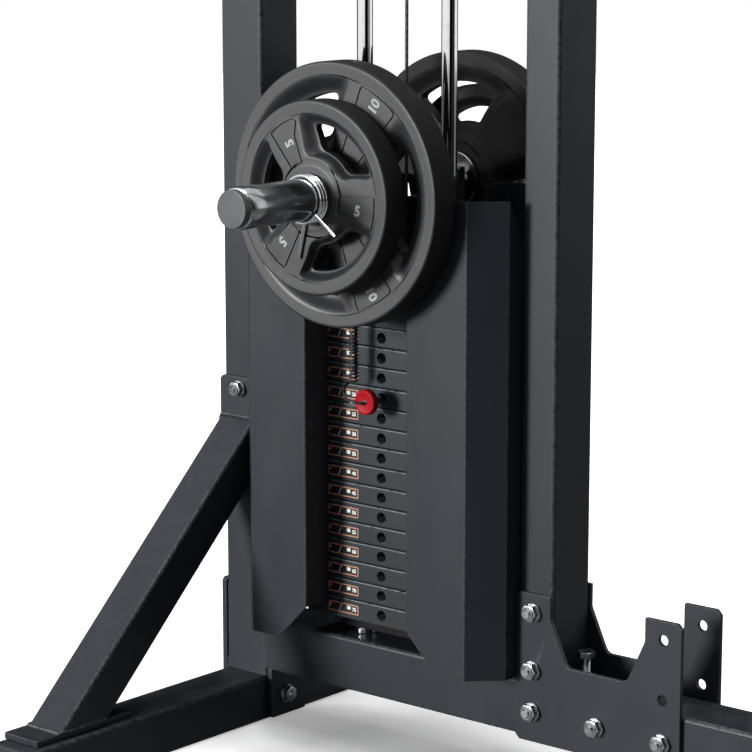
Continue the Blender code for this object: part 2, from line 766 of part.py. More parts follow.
def stack_block(height, pin_hole):
    """A block of the stack's plan, bored for rods and stem, with a cross hole for the pin if it takes one."""
    block = box((-PLATE_HALF_X, -PLATE_HALF_Y, 0), (PLATE_HALF_X, PLATE_HALF_Y, height))
    bore = ROD_RADIUS + ROD_BORE_CLEARANCE
    cuts = [rod(bore, (x, 0, -0.01), (x, 0, height + 0.01), 8) for x in (-ROD_X, ROD_X)]
    cuts.append(rod(STEM_RADIUS + STEM_CLEARANCE, (0, 0, -0.01), (0, 0, height + 0.01), 8))
    if pin_hole:
        mid = height / 2
        cuts.append(rod(PIN_RADIUS + PIN_CLEARANCE, (0, -PLATE_HALF_Y - 0.01, mid), (0, 0, mid), 8))
    return combine(block, cuts)


def make_stack(finishes, root, carriage):
    """Fifteen plates, counted from the bottom. The pinned one and those above it ride on the carriage."""
    plate = stack_block(PLATE_PITCH - GAP, True)
    for number in range(1, PLATE_COUNT + 1):
        body = carriage if number >= PINNED_PLATE else root
        height = STACK_BOTTOM + (number - 1) * PLATE_PITCH
        add_piece(f"weight_plate_{number:02d}", plate, finishes["plate"], body, (0, 0, height))
    head = stack_block(HEAD_THICK, False)
    add_piece("head_plate", head, finishes["plate"], carriage, (0, 0, STACK_TOP))
    stem = rod(STEM_RADIUS, (0, 0, STACK_BOTTOM), (0, 0, HEAD_TOP), 12)
    reach = 2 * STEM_RADIUS
    holes = []
    for number in range(PLATE_COUNT):
        height = STACK_BOTTOM + (number + 0.5) * PLATE_PITCH
        holes.append(rod(PIN_RADIUS + PIN_CLEARANCE, (0, -reach, height), (0, reach, height), 6))
    add_piece("selector_stem", combine(stem, holes), finishes["zinc"], carriage)


def make_yoke(finishes, carriage):
    """A strap bent into a U across the head plate, with the cable's stud in its middle."""
    inner = YOKE_HALF - YOKE_THICK
    floor = YOKE_BOTTOM + YOKE_THICK
    half = [
        (YOKE_HALF - YOKE_BEND, YOKE_BOTTOM),
        (YOKE_HALF, YOKE_BOTTOM + YOKE_BEND),
        (YOKE_HALF, YOKE_TOP),
        (inner, YOKE_TOP),
        (inner, floor),
    ]
    outline = half + [(-y, z) for y, z in reversed(half)]
    strap = prism(outline, -YOKE_X / 2, YOKE_X / 2, "YZ")
    stud = rod(CABLE_STUD_RADIUS, (0, 0, floor - YOKE_THICK / 2), (0, 0, floor + CABLE_STUD), 10)
    add_piece("horn_yoke", combine(strap, [stud], "UNION"), finishes["plate"], carriage)


def make_horns(finishes, carriage):
    """Two loading horns. Each is one sleeve with a root, a stop flange, a cap and a blind bore."""
    root_face = YOKE_HALF + GAP
    sleeve_end = HORN_TIP - HORN_CAP
    profile = [
        (HORN_BORE, root_face),
        (HORN_ROOT_RADIUS, root_face),
        (HORN_ROOT_RADIUS, FLANGE_BACK),
        (FLANGE_RADIUS, FLANGE_BACK),
        (FLANGE_RADIUS, FLANGE_BACK + FLANGE_THICK),
        (HORN_RADIUS, FLANGE_BACK + FLANGE_THICK),
        (HORN_RADIUS, sleeve_end),
        (HORN_CAP_RADIUS, sleeve_end),
        (HORN_CAP_RADIUS, HORN_TIP),
        (0.0, HORN_TIP),
        (0.0, sleeve_end),
        (HORN_BORE, sleeve_end),
    ]
    horn = turned(profile, 20)
    add_piece("horn_near", horn, finishes["chrome"], carriage, (0, 0, HORN_Z), (math.radians(90), 0, 0))
    add_piece("horn_far", horn, finishes["chrome"], carriage, (0, 0, HORN_Z), (math.radians(-90), 0, 0))


def window_ring(radii, half_angles, middle, height):
    """One level of a window: a sector between two radii, its corners cut back."""
    inner, outer = radii
    inner_half, outer_half = (math.radians(angle) for angle in half_angles)
    polar = [(outer - WINDOW_CORNER, -outer_half)]
    polar += [(outer, outer_half * 0.85 * share) for share in (-1.0, -0.35, 0.35, 1.0)]
    polar += [(outer - WINDOW_CORNER, outer_half), (inner + WINDOW_CORNER, inner_half)]
    polar += [(inner, inner_half * 0.75 * share) for share in (1.0, 0.0, -1.0)]
    polar += [(inner + WINDOW_CORNER, -inner_half)]
    return [(r * math.cos(middle + a), r * math.sin(middle + a), height) for r, a in polar]


def window_cutter(radius, thick, window, half_angles, middle):
    """One finger window: a pocket in either face, sloping down to a smaller opening between them."""
    pocket = (HORN_RADIUS + DISC_BORE_CLEARANCE + DISC_HUB, radius - DISC_RIM)
    over = 0.0005
    levels = [
        window_ring(pocket, POCKET_HALF_ANGLES, middle, -over),
        window_ring(window, half_angles, middle, POCKET_DEPTH),
        window_ring(window, half_angles, middle, thick - POCKET_DEPTH),
        window_ring(pocket, POCKET_HALF_ANGLES, middle, thick + over),
    ]
    bm = bmesh.new()
    rings = [[bm.verts.new(point) for point in level] for level in levels]
    for low, high in zip(rings, rings[1:]):
        for index, vert in enumerate(low):
            after = (index + 1) % len(low)
            bm.faces.new((vert, low[after], high[after], high[index]))
    bm.faces.new(rings[0])
    bm.faces.new(rings[-1])
    return to_mesh(bm)


def disc_mesh(radius, thick, window, half_angles):
    """A rubber disc about Z, from its back face at 0 to its front at thick, with three finger windows."""
    bore = HORN_RADIUS + DISC_BORE_CLEARANCE
    soft = DISC_EDGE * 0.3
    profile = [
        (bore, 0.0),
        (radius - DISC_EDGE, 0.0),
        (radius - soft, soft),
        (radius, DISC_EDGE),
        (radius, thick - DISC_EDGE),
        (radius - soft, thick - soft),
        (radius - DISC_EDGE, thick),
        (bore, thick),
    ]
    middles = [math.radians(120) * number for number in range(3)]
    windows = [window_cutter(radius, thick, window, half_angles, middle) for middle in middles]
    return combine(turned(profile, 32), windows)


def make_discs(finishes, near_bodies, far_bodies):
    """A large and a small disc on each horn, large one first."""
    large = disc_mesh(LARGE_RADIUS, LARGE_THICK, LARGE_WINDOW, LARGE_WINDOW_HALF_ANGLES)
    small = disc_mesh(SMALL_RADIUS, SMALL_THICK, SMALL_WINDOW, SMALL_WINDOW_HALF_ANGLES)
    for name, mesh, back, side, turn, body in (
        ("large_disc_near", large, LARGE_BACK, -1, NEAR_LARGE_TURN, near_bodies[0]),
        ("small_disc_near", small, SMALL_BACK, -1, NEAR_SMALL_TURN, near_bodies[1]),
        ("large_disc_far", large, LARGE_BACK, 1, FAR_LARGE_TURN, far_bodies[0]),
        ("small_disc_far", small, SMALL_BACK, 1, FAR_SMALL_TURN, far_bodies[1]),
    ):
        rotation = (-side * math.radians(90), -math.radians(turn), 0)
        add_piece(name, mesh, finishes["rubber"], body, (0, side * back, HORN_Z), rotation)


def collar_route(side):
    """Just over three turns of wire round the horn, with two legs. side is -1 near and 1 far."""
    # The chords between the route's points stay clear of the horn.
    coil = (HORN_RADIUS + COLLAR_WIRE + GAP) / math.cos(math.pi / COLLAR_POINTS)
    start = COLLAR_BACK + COLLAR_WIRE
    end_angle = COLLAR_START + 2 * math.pi * COLLAR_STEPS / COLLAR_POINTS
    end = start + COLLAR_PITCH * COLLAR_STEPS / COLLAR_POINTS
    bend = coil + 3 * COLLAR_WIRE
    polar = [(reach, COLLAR_START, start) for reach in (COLLAR_LONG_ARM, (COLLAR_LONG_ARM + bend) / 2, bend)]
    for step in range(COLLAR_STEPS + 1):
        turn = step / COLLAR_POINTS
        polar.append((coil, COLLAR_START + 2 * math.pi * turn, start + COLLAR_PITCH * turn))
    polar += [(reach, end_angle, end) for reach in (bend, (COLLAR_SHORT_ARM + bend) / 2, COLLAR_SHORT_ARM)]
    return [
        Vector((radius * math.cos(angle), side * height, HORN_Z + radius * math.sin(angle)))
        for radius, angle, height in polar
    ]


def make_collars(finishes, near_body, far_body):
    """A wound wire collar on each horn."""
    for name, side, body in (("collar_near", -1, near_body), ("collar_far", 1, far_body)):
        route = collar_route(side)
        gap = least_gap(route, COLLAR_WIRE, COLLAR_POINTS)
        print(f"{name}: least gap to itself {gap * 1000:.2f} mm")
        wire(name, route, COLLAR_WIRE, finishes["zinc"], body)


def make_pin(finishes, pin):
    """The selector pin: a round red head on a steel shank that reaches through plate and stem."""
    face = PIN_HEAD_FACE
    back = face - PIN_HEAD_THICK
    edge = PIN_HEAD_THICK / 5
    head = turned(
        [
            (0.0, back),
            (PIN_HEAD_RADIUS - edge, back),
            (PIN_HEAD_RADIUS, back + edge),
            (PIN_HEAD_RADIUS, face - edge),
            (PIN_HEAD_RADIUS - edge, face),
            (0.0, face),
        ],
        20,
    )
    head.transform(Matrix.Rotation(math.radians(90), 4, "X"))
    add_piece("selector_pin_head", head, finishes["red"], pin, (0, 0, PIN_Z))
    shank = rod(PIN_RADIUS, (0, -back + GAP, 0), (0, PIN_PAST_AXIS, 0), 10)
    add_piece("selector_pin_shank", shank, finishes["zinc"], pin, (0, 0, PIN_Z))


def lanyard_route():
    """From the head plate's front down through the curls, then round to the middle of the pin's head."""
    curl_top = CURL_BOTTOM + CURLS * CURL_PITCH
    anchor_z = STACK_TOP + HEAD_THICK / 2
    plate_face = -PLATE_HALF_Y - GAP
    curls = []
    for step in range(CURLS * CURL_POINTS + 1):
        turn = step / CURL_POINTS
        angle = math.pi / 2 - 2 * math.pi * turn
        curls.append(
            Vector(
                (
                    CURL_X + CURL_RADIUS * math.cos(angle),
                    CURL_Y + CURL_RADIUS * math.sin(angle),
                    curl_top - CURL_PITCH * turn,
                )
            )
        )
    lead_in = smooth_route(
        [
            (CURL_X, plate_face, anchor_z),
            (CURL_X, plate_face - 2 * CORD_RADIUS, anchor_z),
            (CURL_X - 0.001, plate_face - 0.008, anchor_z - 0.003),
            (CURL_X - 0.003, CURL_Y + CURL_RADIUS + 0.001, curl_top + 0.003),
            curls[0],
        ],
        2,
    )
    tail = smooth_route(
        [
            curls[-1],
            (CURL_X + 0.001, CURL_Y + CURL_RADIUS - 0.001, CURL_BOTTOM - 0.003),
            (-0.0335, -0.074, 0.4795),
            (-0.0290, -0.085, 0.4690),
            (-0.0150, -0.0895, 0.4610),
            (-0.0030, -0.0870, PIN_Z),
            (0.0, -PIN_HEAD_FACE - 2 * CORD_RADIUS, PIN_Z),
            (0.0, -PIN_HEAD_FACE - GAP, PIN_Z),
        ],
        3,
    )
    return lead_in[:-1], curls, tail[1:]


def make_lanyard(finishes, carriage):
    """The curly cord between head plate and pin."""
    lead_in, curls, tail = lanyard_route()
    gap = least_gap(curls, CORD_RADIUS, CURL_POINTS)
    route = lead_in + curls + tail
    length = sum((b - a).length for a, b in zip(route, route[1:]))
    print(f"pin_lanyard: least gap to itself {gap * 1000:.2f} mm, length {length:.3f} m")
    wire("pin_lanyard", route, CORD_RADIUS, finishes["cord"], carriage)


def make_cable(finishes, root):
    """The steel cable: up from the yoke, over both pulleys, and down to the pull bar."""
    stud_top = YOKE_BOTTOM + YOKE_THICK + CABLE_STUD
    rear = [Vector((0, 0, stud_top + GAP)), Vector((0, 0, PULLEY_Z - GAP))]
    wire("cable_rear_run", rear, CABLE_RADIUS, finishes["cable"], root, 2)
    over = []
    for centre_x, first_angle in ((PULLEY_PITCH, 180), (BAR_X - PULLEY_PITCH, 90)):
        for step in range(CABLE_ARC_STEPS + 1):
            angle = math.radians(first_angle - 90 * step / CABLE_ARC_STEPS)
            x = centre_x + PULLEY_PITCH * math.cos(angle)
            over.append((x, 0, PULLEY_Z + PULLEY_PITCH * math.sin(angle)))
    wire("cable_top", [Vector(point) for point in over], CABLE_RADIUS, finishes["cable"], root, 2)
    front = [Vector((BAR_X, 0, PULLEY_Z - GAP)), Vector((BAR_X, 0, SWIVEL_BOTTOM + SWIVEL_HEIGHT + GAP))]
    wire("cable_front_run", front, CABLE_RADIUS, finishes["cable"], root, 2)


def make_pull_bar(finishes, hook, bar_body):
    """A turned swivel cup on the cable, and the wide bar whose stud head it holds."""
    cup = turned(
        [
            (0.0, SWIVEL_HEIGHT),
            (SWIVEL_RADIUS * 0.6, SWIVEL_HEIGHT),
            (SWIVEL_RADIUS, SWIVEL_HEIGHT * 0.75),
            (SWIVEL_RADIUS, 0.0),
            (STUD_RADIUS + SWIVEL_CLEARANCE, 0.0),
            (STUD_RADIUS + SWIVEL_CLEARANCE, SWIVEL_WALL - GAP),
            (STUD_HEAD_RADIUS + SWIVEL_CLEARANCE, SWIVEL_WALL - GAP),
            (STUD_HEAD_RADIUS + SWIVEL_CLEARANCE, SWIVEL_WALL + STUD_HEAD + SWIVEL_CLEARANCE),
            (0.0, SWIVEL_WALL + STUD_HEAD + SWIVEL_CLEARANCE),
        ],
        16,
    )
    add_piece("bar_swivel", cup, finishes["chrome"], hook, (BAR_X, 0, SWIVEL_BOTTOM))
    stud = turned(
        [
            (0.0, 0.0),
            (STUD_RADIUS, 0.0),
            (STUD_RADIUS, BAR_RADIUS + STUD_LENGTH - STUD_HEAD),
            (STUD_HEAD_RADIUS, BAR_RADIUS + STUD_LENGTH - STUD_HEAD),
            (STUD_HEAD_RADIUS, BAR_RADIUS + STUD_LENGTH),
            (0.0, BAR_RADIUS + STUD_LENGTH),
        ],
        12,
    )
    half = [(0.0, 0.0), (BAR_STRAIGHT_HALF * 0.5, 0.0), (BAR_STRAIGHT_HALF, 0.0)]
    bend = BAR_HALF - BAR_STRAIGHT_HALF
    for share in (0.25, 0.5, 0.75, 1.0):
        half.append((BAR_STRAIGHT_HALF + bend * share, -BAR_DROP * share**1.4))
    route = [Vector((0, -y, z)) for y, z in reversed(half[1:])] + [Vector((0, y, z)) for y, z in half]
    curve = wire("bar_route", route, BAR_RADIUS, finishes["chrome"], None, 3)
    graph = bpy.context.evaluated_depsgraph_get()
    tube = bpy.data.meshes.new_from_object(curve.evaluated_get(graph))
    bpy.data.objects.remove(curve)
    welded = bmesh.new()
    welded.from_mesh(tube)
    bmesh.ops.remove_doubles(welded, verts=welded.verts, dist=1e-6)
    bar = combine(to_mesh(welded), [stud], "UNION")
    add_piece("lat_bar", bar, finishes["chrome"], bar_body, (BAR_X, 0, BAR_Z))


def shroud_mesh():
    """The near front guard: a folded sheet with a return, a face, a chamfer and a side.

    The sheet's plan runs from the return's free edge, round the outside, to the side's free edge.
    Its inner line is the same plan set in by the sheet's thickness.
    """
    outer_x = BAY / 2 - GAP
    chamfer_x = outer_x - SHROUD_CHAMFER
    chamfer_y = SHROUD_FACE - SHROUD_CHAMFER
    tilt = SHEET * math.tan(math.radians(22.5))
    plan = [
        (SHROUD_INNER, -SHROUD_RETURN_END),
        (SHROUD_INNER, -SHROUD_FACE),
        (chamfer_x, -SHROUD_FACE),
        (outer_x, -chamfer_y),
        (outer_x, -SHROUD_SIDE_END),
        (outer_x - SHEET, -SHROUD_SIDE_END),
        (outer_x - SHEET, -chamfer_y + tilt),
        (chamfer_x - tilt, -SHROUD_FACE + SHEET),
        (SHROUD_INNER + SHEET, -SHROUD_FACE + SHEET),
        (SHROUD_INNER + SHEET, -SHROUD_RETURN_END),
    ]
    sheet = prism(plan, SHROUD_BOTTOM, SHROUD_TOP, "XY")
    over = 0.01
    # The notch takes the lower inner corner off, and the slope drops the side towards the upright.
    notch = prism(
        [
            (SHROUD_INNER - over, SHROUD_BOTTOM - over),
            (SHROUD_INNER + SHROUD_NOTCH + over, SHROUD_BOTTOM - over),
            (SHROUD_INNER - over, SHROUD_BOTTOM + SHROUD_NOTCH + over),
        ],
        -SHROUD_FACE - over,
        -SHROUD_RETURN_END + over,
        "XZ",
    )
    slope = prism(
        [
            (-chamfer_y, SHROUD_TOP),
            (-SHROUD_SLOPE_END, SHROUD_TOP - SHROUD_SLOPE_DROP),
            (-SHROUD_SIDE_END + over, SHROUD_TOP - SHROUD_SLOPE_DROP),
            (-SHROUD_SIDE_END + over, SHROUD_TOP + over),
            (-chamfer_y, SHROUD_TOP + over),
        ],
        outer_x - 2 * SHEET,
        outer_x + over,
        "YZ",
    )
    return combine(sheet, [notch, slope])


def make_shrouds(finishes, root):
    """Four guards, the near front one and its mirror images."""
    for name, flip_x, flip_y in (
        ("shroud_near_front", False, False),
        ("shroud_near_rear", True, False),
        ("shroud_far_front", False, True),
        ("shroud_far_rear", True, True),
    ):
        mesh = shroud_mesh()
        for flip, axis in ((flip_x, (1, 0, 0)), (flip_y, (0, 1, 0))):
            if flip:
                mesh.transform(Matrix.Scale(-1, 4, axis))
                mesh.flip_normals()
        add_piece(name, mesh, finishes["shroud"], root)


def main():
    clear_scene()
    finishes = make_finishes()
    root = add_empty("tower", (-ORIGIN_X, 0, 0))
    carriage = add_empty("carriage", parent=root)
    near_large = add_empty("near_large", parent=carriage)
    near_small = add_empty("near_small", parent=near_large)
    near_collar = add_empty("near_collar", parent=near_small)
    far_large = add_empty("far_large", parent=carriage)
    far_small = add_empty("far_small", parent=far_large)
    far_collar = add_empty("far_collar", parent=far_small)
    pin = add_empty("pin", parent=carriage)
    hook = add_empty("hook", parent=root)
    bar_body = add_empty("pull_bar", parent=hook)
    make_uprights(finishes, root)
    make_base_beam(finishes, root)
    make_foot_rails(finishes, root)
    make_braces(finishes, root)
    make_gussets(finishes, root)
    make_gusset_bolts(finishes, root)
    make_boom(finishes, root)
    make_pulleys(finishes, root)
    make_guide_rods(finishes, root)
    make_stack(finishes, root, carriage)
    make_yoke(finishes, carriage)
    make_horns(finishes, carriage)
    make_discs(finishes, (near_large, near_small), (far_large, far_small))
    make_collars(finishes, near_collar, far_collar)
    make_pin(finishes, pin)
    make_lanyard(finishes, carriage)
    make_cable(finishes, root)
    make_pull_bar(finishes, hook, bar_body)
    make_shrouds(finishes, root)
    print(f"stack axis at x = {-ORIGIN_X:.5f} m, pin at z = {PIN_Z:.5f} m")


main()
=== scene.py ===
# %% [markdown]
# # Lat pulldown tower
# A tower for cable exercise: a guided stack of steel plates with a selector pin, two loading horns with
# rubber discs, a frame of painted box tube and folded sheet guards. The CAD frame gives every place and
# size. This lesson dresses it: each piece is rebuilt as a fine surface inside the box of its CAD node and
# gets its finish.

import math

import bmesh
import bpy
import numpy as np
from mathutils import Matrix, Vector


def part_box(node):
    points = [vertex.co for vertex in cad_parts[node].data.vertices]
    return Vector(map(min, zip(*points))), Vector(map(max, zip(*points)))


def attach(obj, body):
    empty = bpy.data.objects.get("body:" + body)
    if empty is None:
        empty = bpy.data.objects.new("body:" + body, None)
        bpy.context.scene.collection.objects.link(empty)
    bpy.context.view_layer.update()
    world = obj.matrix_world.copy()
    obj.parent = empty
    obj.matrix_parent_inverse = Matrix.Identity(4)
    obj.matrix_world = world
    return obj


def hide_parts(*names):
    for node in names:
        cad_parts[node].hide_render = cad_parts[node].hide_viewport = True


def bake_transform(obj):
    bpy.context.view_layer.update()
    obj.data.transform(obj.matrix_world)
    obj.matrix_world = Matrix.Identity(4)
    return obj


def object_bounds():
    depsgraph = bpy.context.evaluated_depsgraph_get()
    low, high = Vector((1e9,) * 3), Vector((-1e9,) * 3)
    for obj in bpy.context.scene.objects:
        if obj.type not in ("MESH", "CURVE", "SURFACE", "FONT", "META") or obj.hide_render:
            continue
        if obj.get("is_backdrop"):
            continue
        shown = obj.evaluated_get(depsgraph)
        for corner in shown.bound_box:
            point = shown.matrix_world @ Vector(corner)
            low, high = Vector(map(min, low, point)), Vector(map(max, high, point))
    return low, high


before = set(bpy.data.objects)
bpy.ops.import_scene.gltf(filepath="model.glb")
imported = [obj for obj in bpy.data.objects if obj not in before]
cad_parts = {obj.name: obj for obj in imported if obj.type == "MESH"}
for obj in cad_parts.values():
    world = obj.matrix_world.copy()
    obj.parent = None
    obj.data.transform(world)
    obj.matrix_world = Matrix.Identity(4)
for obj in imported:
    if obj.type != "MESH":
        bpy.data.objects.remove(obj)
cad_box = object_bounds()
print("CAD box in metres:", [[round(value, 4) for value in corner] for corner in cad_box])

# Every x below is measured from the stack's axis, and add_piece moves a finished mesh to the frame.
stem_low, stem_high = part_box("selector_stem")
AXIS_X = (stem_low.x + stem_high.x) / 2
TO_FRAME = (AXIS_X, 0.0, 0.0)
SIDES = ((-1, "near"), (1, "far"))


def span(node_name):
    """Lowest and highest corner of a CAD node, with x from the stack's axis."""
    low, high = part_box(node_name)
    return np.array(low) - TO_FRAME, np.array(high) - TO_FRAME


def new_object(name, data):
    """An object for a mesh, lamp or camera, put into the scene."""
    obj = bpy.data.objects.new(name, data)
    bpy.context.collection.objects.link(obj)
    return obj


HORN_Z = sum(span("horn_near"))[2] / 2
print(f"stack axis at x = {AXIS_X:.4f} m, horns at z = {HORN_Z:.4f} m")

# %% [markdown]
# ## Camera
# A long lens stands to the right of the machine, at the height of a person's chest, and looks down a
# little. Its place, yaw, pitch and focal length were solved so that the CAD frame's corners fall on the
# same picture points. The lens needs no shift, so other views stay centred.

# %% Camera
CAMERA_PLACE = (1.7965, -2.5256, 1.0974)
CAMERA_YAW, CAMERA_PITCH = math.radians(40.169), math.radians(-10.633)
LENS_MM = 127.56

camera = new_object("camera", bpy.data.cameras.new("camera"))
camera.data.sensor_width = 36.0
camera.data.lens = LENS_MM
camera.data.clip_end = 60.0
camera.location = CAMERA_PLACE
camera.rotation_euler = (math.pi / 2 + CAMERA_PITCH, 0.0, CAMERA_YAW)
bpy.context.scene.camera = camera
bpy.context.scene.view_settings.view_transform = "Standard"
print(f"camera {LENS_MM} mm at {CAMERA_PLACE}")

# %% [markdown]
# ## Surfaces from arrays
# Every piece below is a grid of points: rows times columns, worked out at once with numpy. A closed piece
# wraps its grid round, or ends in flat faces. One function turns such grids into a mesh, merges the seams
# and turns the faces outwards.

# %% Grids and meshes
SHARP_ANGLE = math.radians(35)
MERGE_DISTANCE = 1e-5


def grid(points, wrap_rows=False, wrap_columns=False):
    """One part from an (m, n, 3) array: its points, and a four-sided face between each four neighbours."""
    rows, columns = points.shape[:2]
    row = np.arange(rows if wrap_rows else rows - 1)[:, None]
    column = np.arange(columns if wrap_columns else columns - 1)[None, :]
    next_row, next_column = (row + 1) % rows, (column + 1) % columns
    corners = [(row, column), (row, next_column), (next_row, next_column), (next_row, column)]
    faces = np.stack([r * columns + c for r, c in corners], axis=-1)
    return points.reshape(-1, 3), faces.reshape(-1, 4)


def flat_cap(ring):
    """One part that closes a flat ring of points with a single face."""
    return ring, np.arange(len(ring))[None, :]


def walled(rings):
    """A closed surface through rings of points, the last joined to the first."""
    return [grid(np.array(rings), wrap_rows=True, wrap_columns=True)]


def cleaned(mesh):
    """Merges a mesh's points where they meet, and turns its faces outwards."""
    shell = bmesh.new()
    shell.from_mesh(mesh)
    bmesh.ops.remove_doubles(shell, verts=shell.verts, dist=MERGE_DISTANCE)
    bmesh.ops.recalc_face_normals(shell, faces=shell.faces)
    shell.to_mesh(mesh)
    shell.free()
    return mesh


def make_mesh(name, parts):
    """Joins parts into one clean mesh."""
    starts = np.cumsum([0] + [len(points) for points, _ in parts])
    faces = [face for start, (_, corners) in zip(starts, parts) for face in (corners + start).tolist()]
    mesh = bpy.data.meshes.new(name)
    mesh.from_pydata(np.concatenate([points for points, _ in parts]).tolist(), [], faces)
    return cleaned(mesh)


def combine(mesh, tools, operation="DIFFERENCE"):
    """Cuts closed tool meshes out of a closed mesh, or joins them to it, and returns the result."""
    body, *helpers = [new_object("tool", one) for one in (mesh, *tools)]
    for helper in helpers:
        modifier = body.modifiers.new("combine", "BOOLEAN")
        modifier.operation = operation
        modifier.solver = "MANIFOLD"
        modifier.object = helper
    graph = bpy.context.evaluated_depsgraph_get()
    result = bpy.data.meshes.new_from_object(body.evaluated_get(graph))
    for obj in (body, *helpers):
        bpy.data.objects.remove(obj)
    return result


def moved(mesh, offset):
    """A shifted copy of a mesh."""
    copy = mesh.copy()
    copy.transform(Matrix.Translation(offset))
    return copy


# %% [markdown]
# Paint wears on edges first. Each mesh carries a mark for that on its vertices: the fold between the
# faces that meet there, on narrow roundings only. The same mark places the painted highlight on the stack
# plates.

# %% Edge marks and finished pieces
EDGE_MARK_FOLD, EDGE_MARK_SPREAD, EDGE_MARK_WIDTH = 12, 15, 0.004
SLOT_OF = {}


def read(items, name, width=1, kind=np.int32):
    """One property of all items of a mesh, as an array."""
    values = np.zeros(len(items) * width, kind)
    items.foreach_get(name, values)
    return values.reshape(-1, width) if width > 1 else values


def edge_marks(mesh):
    """Marks, in the attribute edge, the vertices on narrow rounded edges, where paint wears first and
    painted highlights go.

    A vertex counts by the steepest fold between the faces that meet there. One that also belongs to a face
    wider than 4 mm counts nothing, so the mark stays on the rounding. A face's width is twice its area over
    its perimeter.
    """
    normals = read(mesh.polygons, "normal", 3, np.float32)
    corner_edge = read(mesh.loops, "edge_index")
    corner_face = np.repeat(np.arange(len(mesh.polygons)), read(mesh.polygons, "loop_total"))
    edge_ends = read(mesh.edges, "vertices", 2)
    order = np.argsort(corner_edge, kind="stable")
    same = corner_edge[order][1:] == corner_edge[order][:-1]
    first, second = order[:-1][same], order[1:][same]
    fold = np.einsum("ij,ij->i", normals[corner_face[first]], normals[corner_face[second]])
    fold = np.degrees(np.arccos(np.clip(fold, -1, 1)))
    steepest = np.zeros(len(mesh.vertices), np.float32)
    for end in (0, 1):
        np.maximum.at(steepest, edge_ends[corner_edge[first], end], fold)
    ends = read(mesh.vertices, "co", 3, np.float32)[edge_ends[corner_edge]]
    perimeter = np.bincount(corner_face, np.linalg.norm(ends[:, 0] - ends[:, 1], axis=1))
    width = 2 * read(mesh.polygons, "area", 1, np.float32) / perimeter
    widest = np.zeros(len(mesh.vertices))
    np.maximum.at(widest, read(mesh.loops, "vertex_index"), width[corner_face])
    mark = np.clip((steepest - EDGE_MARK_FOLD) / EDGE_MARK_SPREAD, 0, 1) * (widest < EDGE_MARK_WIDTH)
    attribute = mesh.attributes.get("edge") or mesh.attributes.new("edge", "FLOAT", "POINT")
    attribute.data.foreach_set("value", mark.astype(np.float32))


def add_piece(name, mesh, material, body, *nodes, slot=None, flat=True):
    """Puts a mesh or parts into the scene, smooth but for sharp edges, riding a body in place of nodes.

    flat weighs normals by face area, so that the wide faces beside a rounded edge stay flat. The slot, the
    finish's own unless one is given, is worked out but not kept on the piece.
    """
    mesh = mesh if isinstance(mesh, bpy.types.Mesh) else make_mesh(name, mesh)
    mesh.name = name
    mesh.transform(Matrix.Translation(TO_FRAME))
    mesh.materials.clear()
    materials = material if isinstance(material, list) else [material]
    for one in materials:
        mesh.materials.append(one)
    mesh.shade_smooth()
    mesh.set_sharp_from_angle(angle=SHARP_ANGLE)
    edge_marks(mesh)
    piece = new_object(name, mesh)
    if flat:
        piece.modifiers.new("flat faces stay flat", "WEIGHTED_NORMAL").keep_sharp = True
    if body:
        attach(piece, body)
    if nodes:
        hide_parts(*nodes)
    slot = slot or SLOT_OF[materials[0].name]
    return piece


# %% [markdown]
# ## Outlines and solids
# Three kinds of shape make nearly all of a machine like this: a profile spun round an axis, an outline
# pushed through a thickness, and a section carried along a path. Real edges are never sharp, so outlines
# get arcs at their corners and slabs get a rounded edge, which is what catches the light.

# %% Planes and outlines
AROUND = {"X": "YZ", "Y": "ZX", "Z": "XY"}
LEFT_TURN = np.array([[0, 1], [-1, 0]])


def basis(plane):
    """Unit vectors along the two axes that a plane such as XZ is named by, and along the third."""
    order = ["XYZ".index(letter) for letter in plane]
    return np.eye(3)[[*order, 3 - sum(order)]]


def lay(outline, plane, height):
    """Puts (u, v) points into a plane, at a height across it."""
    return outline @ basis(plane)[:2] + height * basis(plane)[2]


def unit(vectors):
    """Vectors shortened or stretched to length 1."""
    return vectors / np.linalg.norm(vectors, axis=-1, keepdims=True)


def directions(angles):
    """The unit vectors (cos a, sin a)."""
    return np.stack([np.cos(angles), np.sin(angles)], axis=-1)


def full_turn(steps):
    """Equal angles round a circle."""
    return np.linspace(0, 2 * math.pi, steps, endpoint=False)


def rounded(corners, radii, steps=4):
    """An outline through corners. One with a radius becomes an arc that touches both its sides."""
    corners = np.asarray(corners, float)
    outline = []
    for index, (corner, radius) in enumerate(zip(corners, np.broadcast_to(radii, len(corners)))):
        if radius <= 0:
            outline.append(corner[None])
            continue
        back = unit(corners[index - 1] - corner)
        ahead = unit(corners[(index + 1) % len(corners)] - corner)
        half = math.acos(np.clip(back @ ahead, -1, 1)) / 2
        centre = corner + unit(back + ahead) * radius / math.sin(half)
        start, stop = [corner + side * radius / math.tan(half) - centre for side in (back, ahead)]
        first = math.atan2(start[1], start[0])
        sweep = (math.atan2(stop[1], stop[0]) - first + math.pi) % (2 * math.pi) - math.pi
        outline.append(centre + radius * directions(first + sweep * np.linspace(0, 1, steps + 1)))
    return np.concatenate(outline)


def rectangle(width, height, radius, steps=4):
    """A rounded rectangle about its middle."""
    w, h = width / 2, height / 2
    return rounded([(w, h), (-w, h), (-w, -h), (w, -h)], radius, steps)


def circle(radius, steps):
    """Points of a circle."""
    return radius * directions(full_turn(steps))


def inset(line, distance, closed=True):
    """Moves each side of an outline, or of an open line, to its left by a distance."""
    if closed:
        after = unit(np.roll(line, -1, axis=0) - line)
        before = np.roll(after, 1, axis=0)
    else:
        steps = unit(np.diff(line, axis=0))
        before, after = np.vstack([steps[:1], steps]), np.vstack([steps, steps[-1:]])
    share = 1 + np.sum(before * after, axis=1, keepdims=True)
    return line + distance * (before + after) @ LEFT_TURN / share


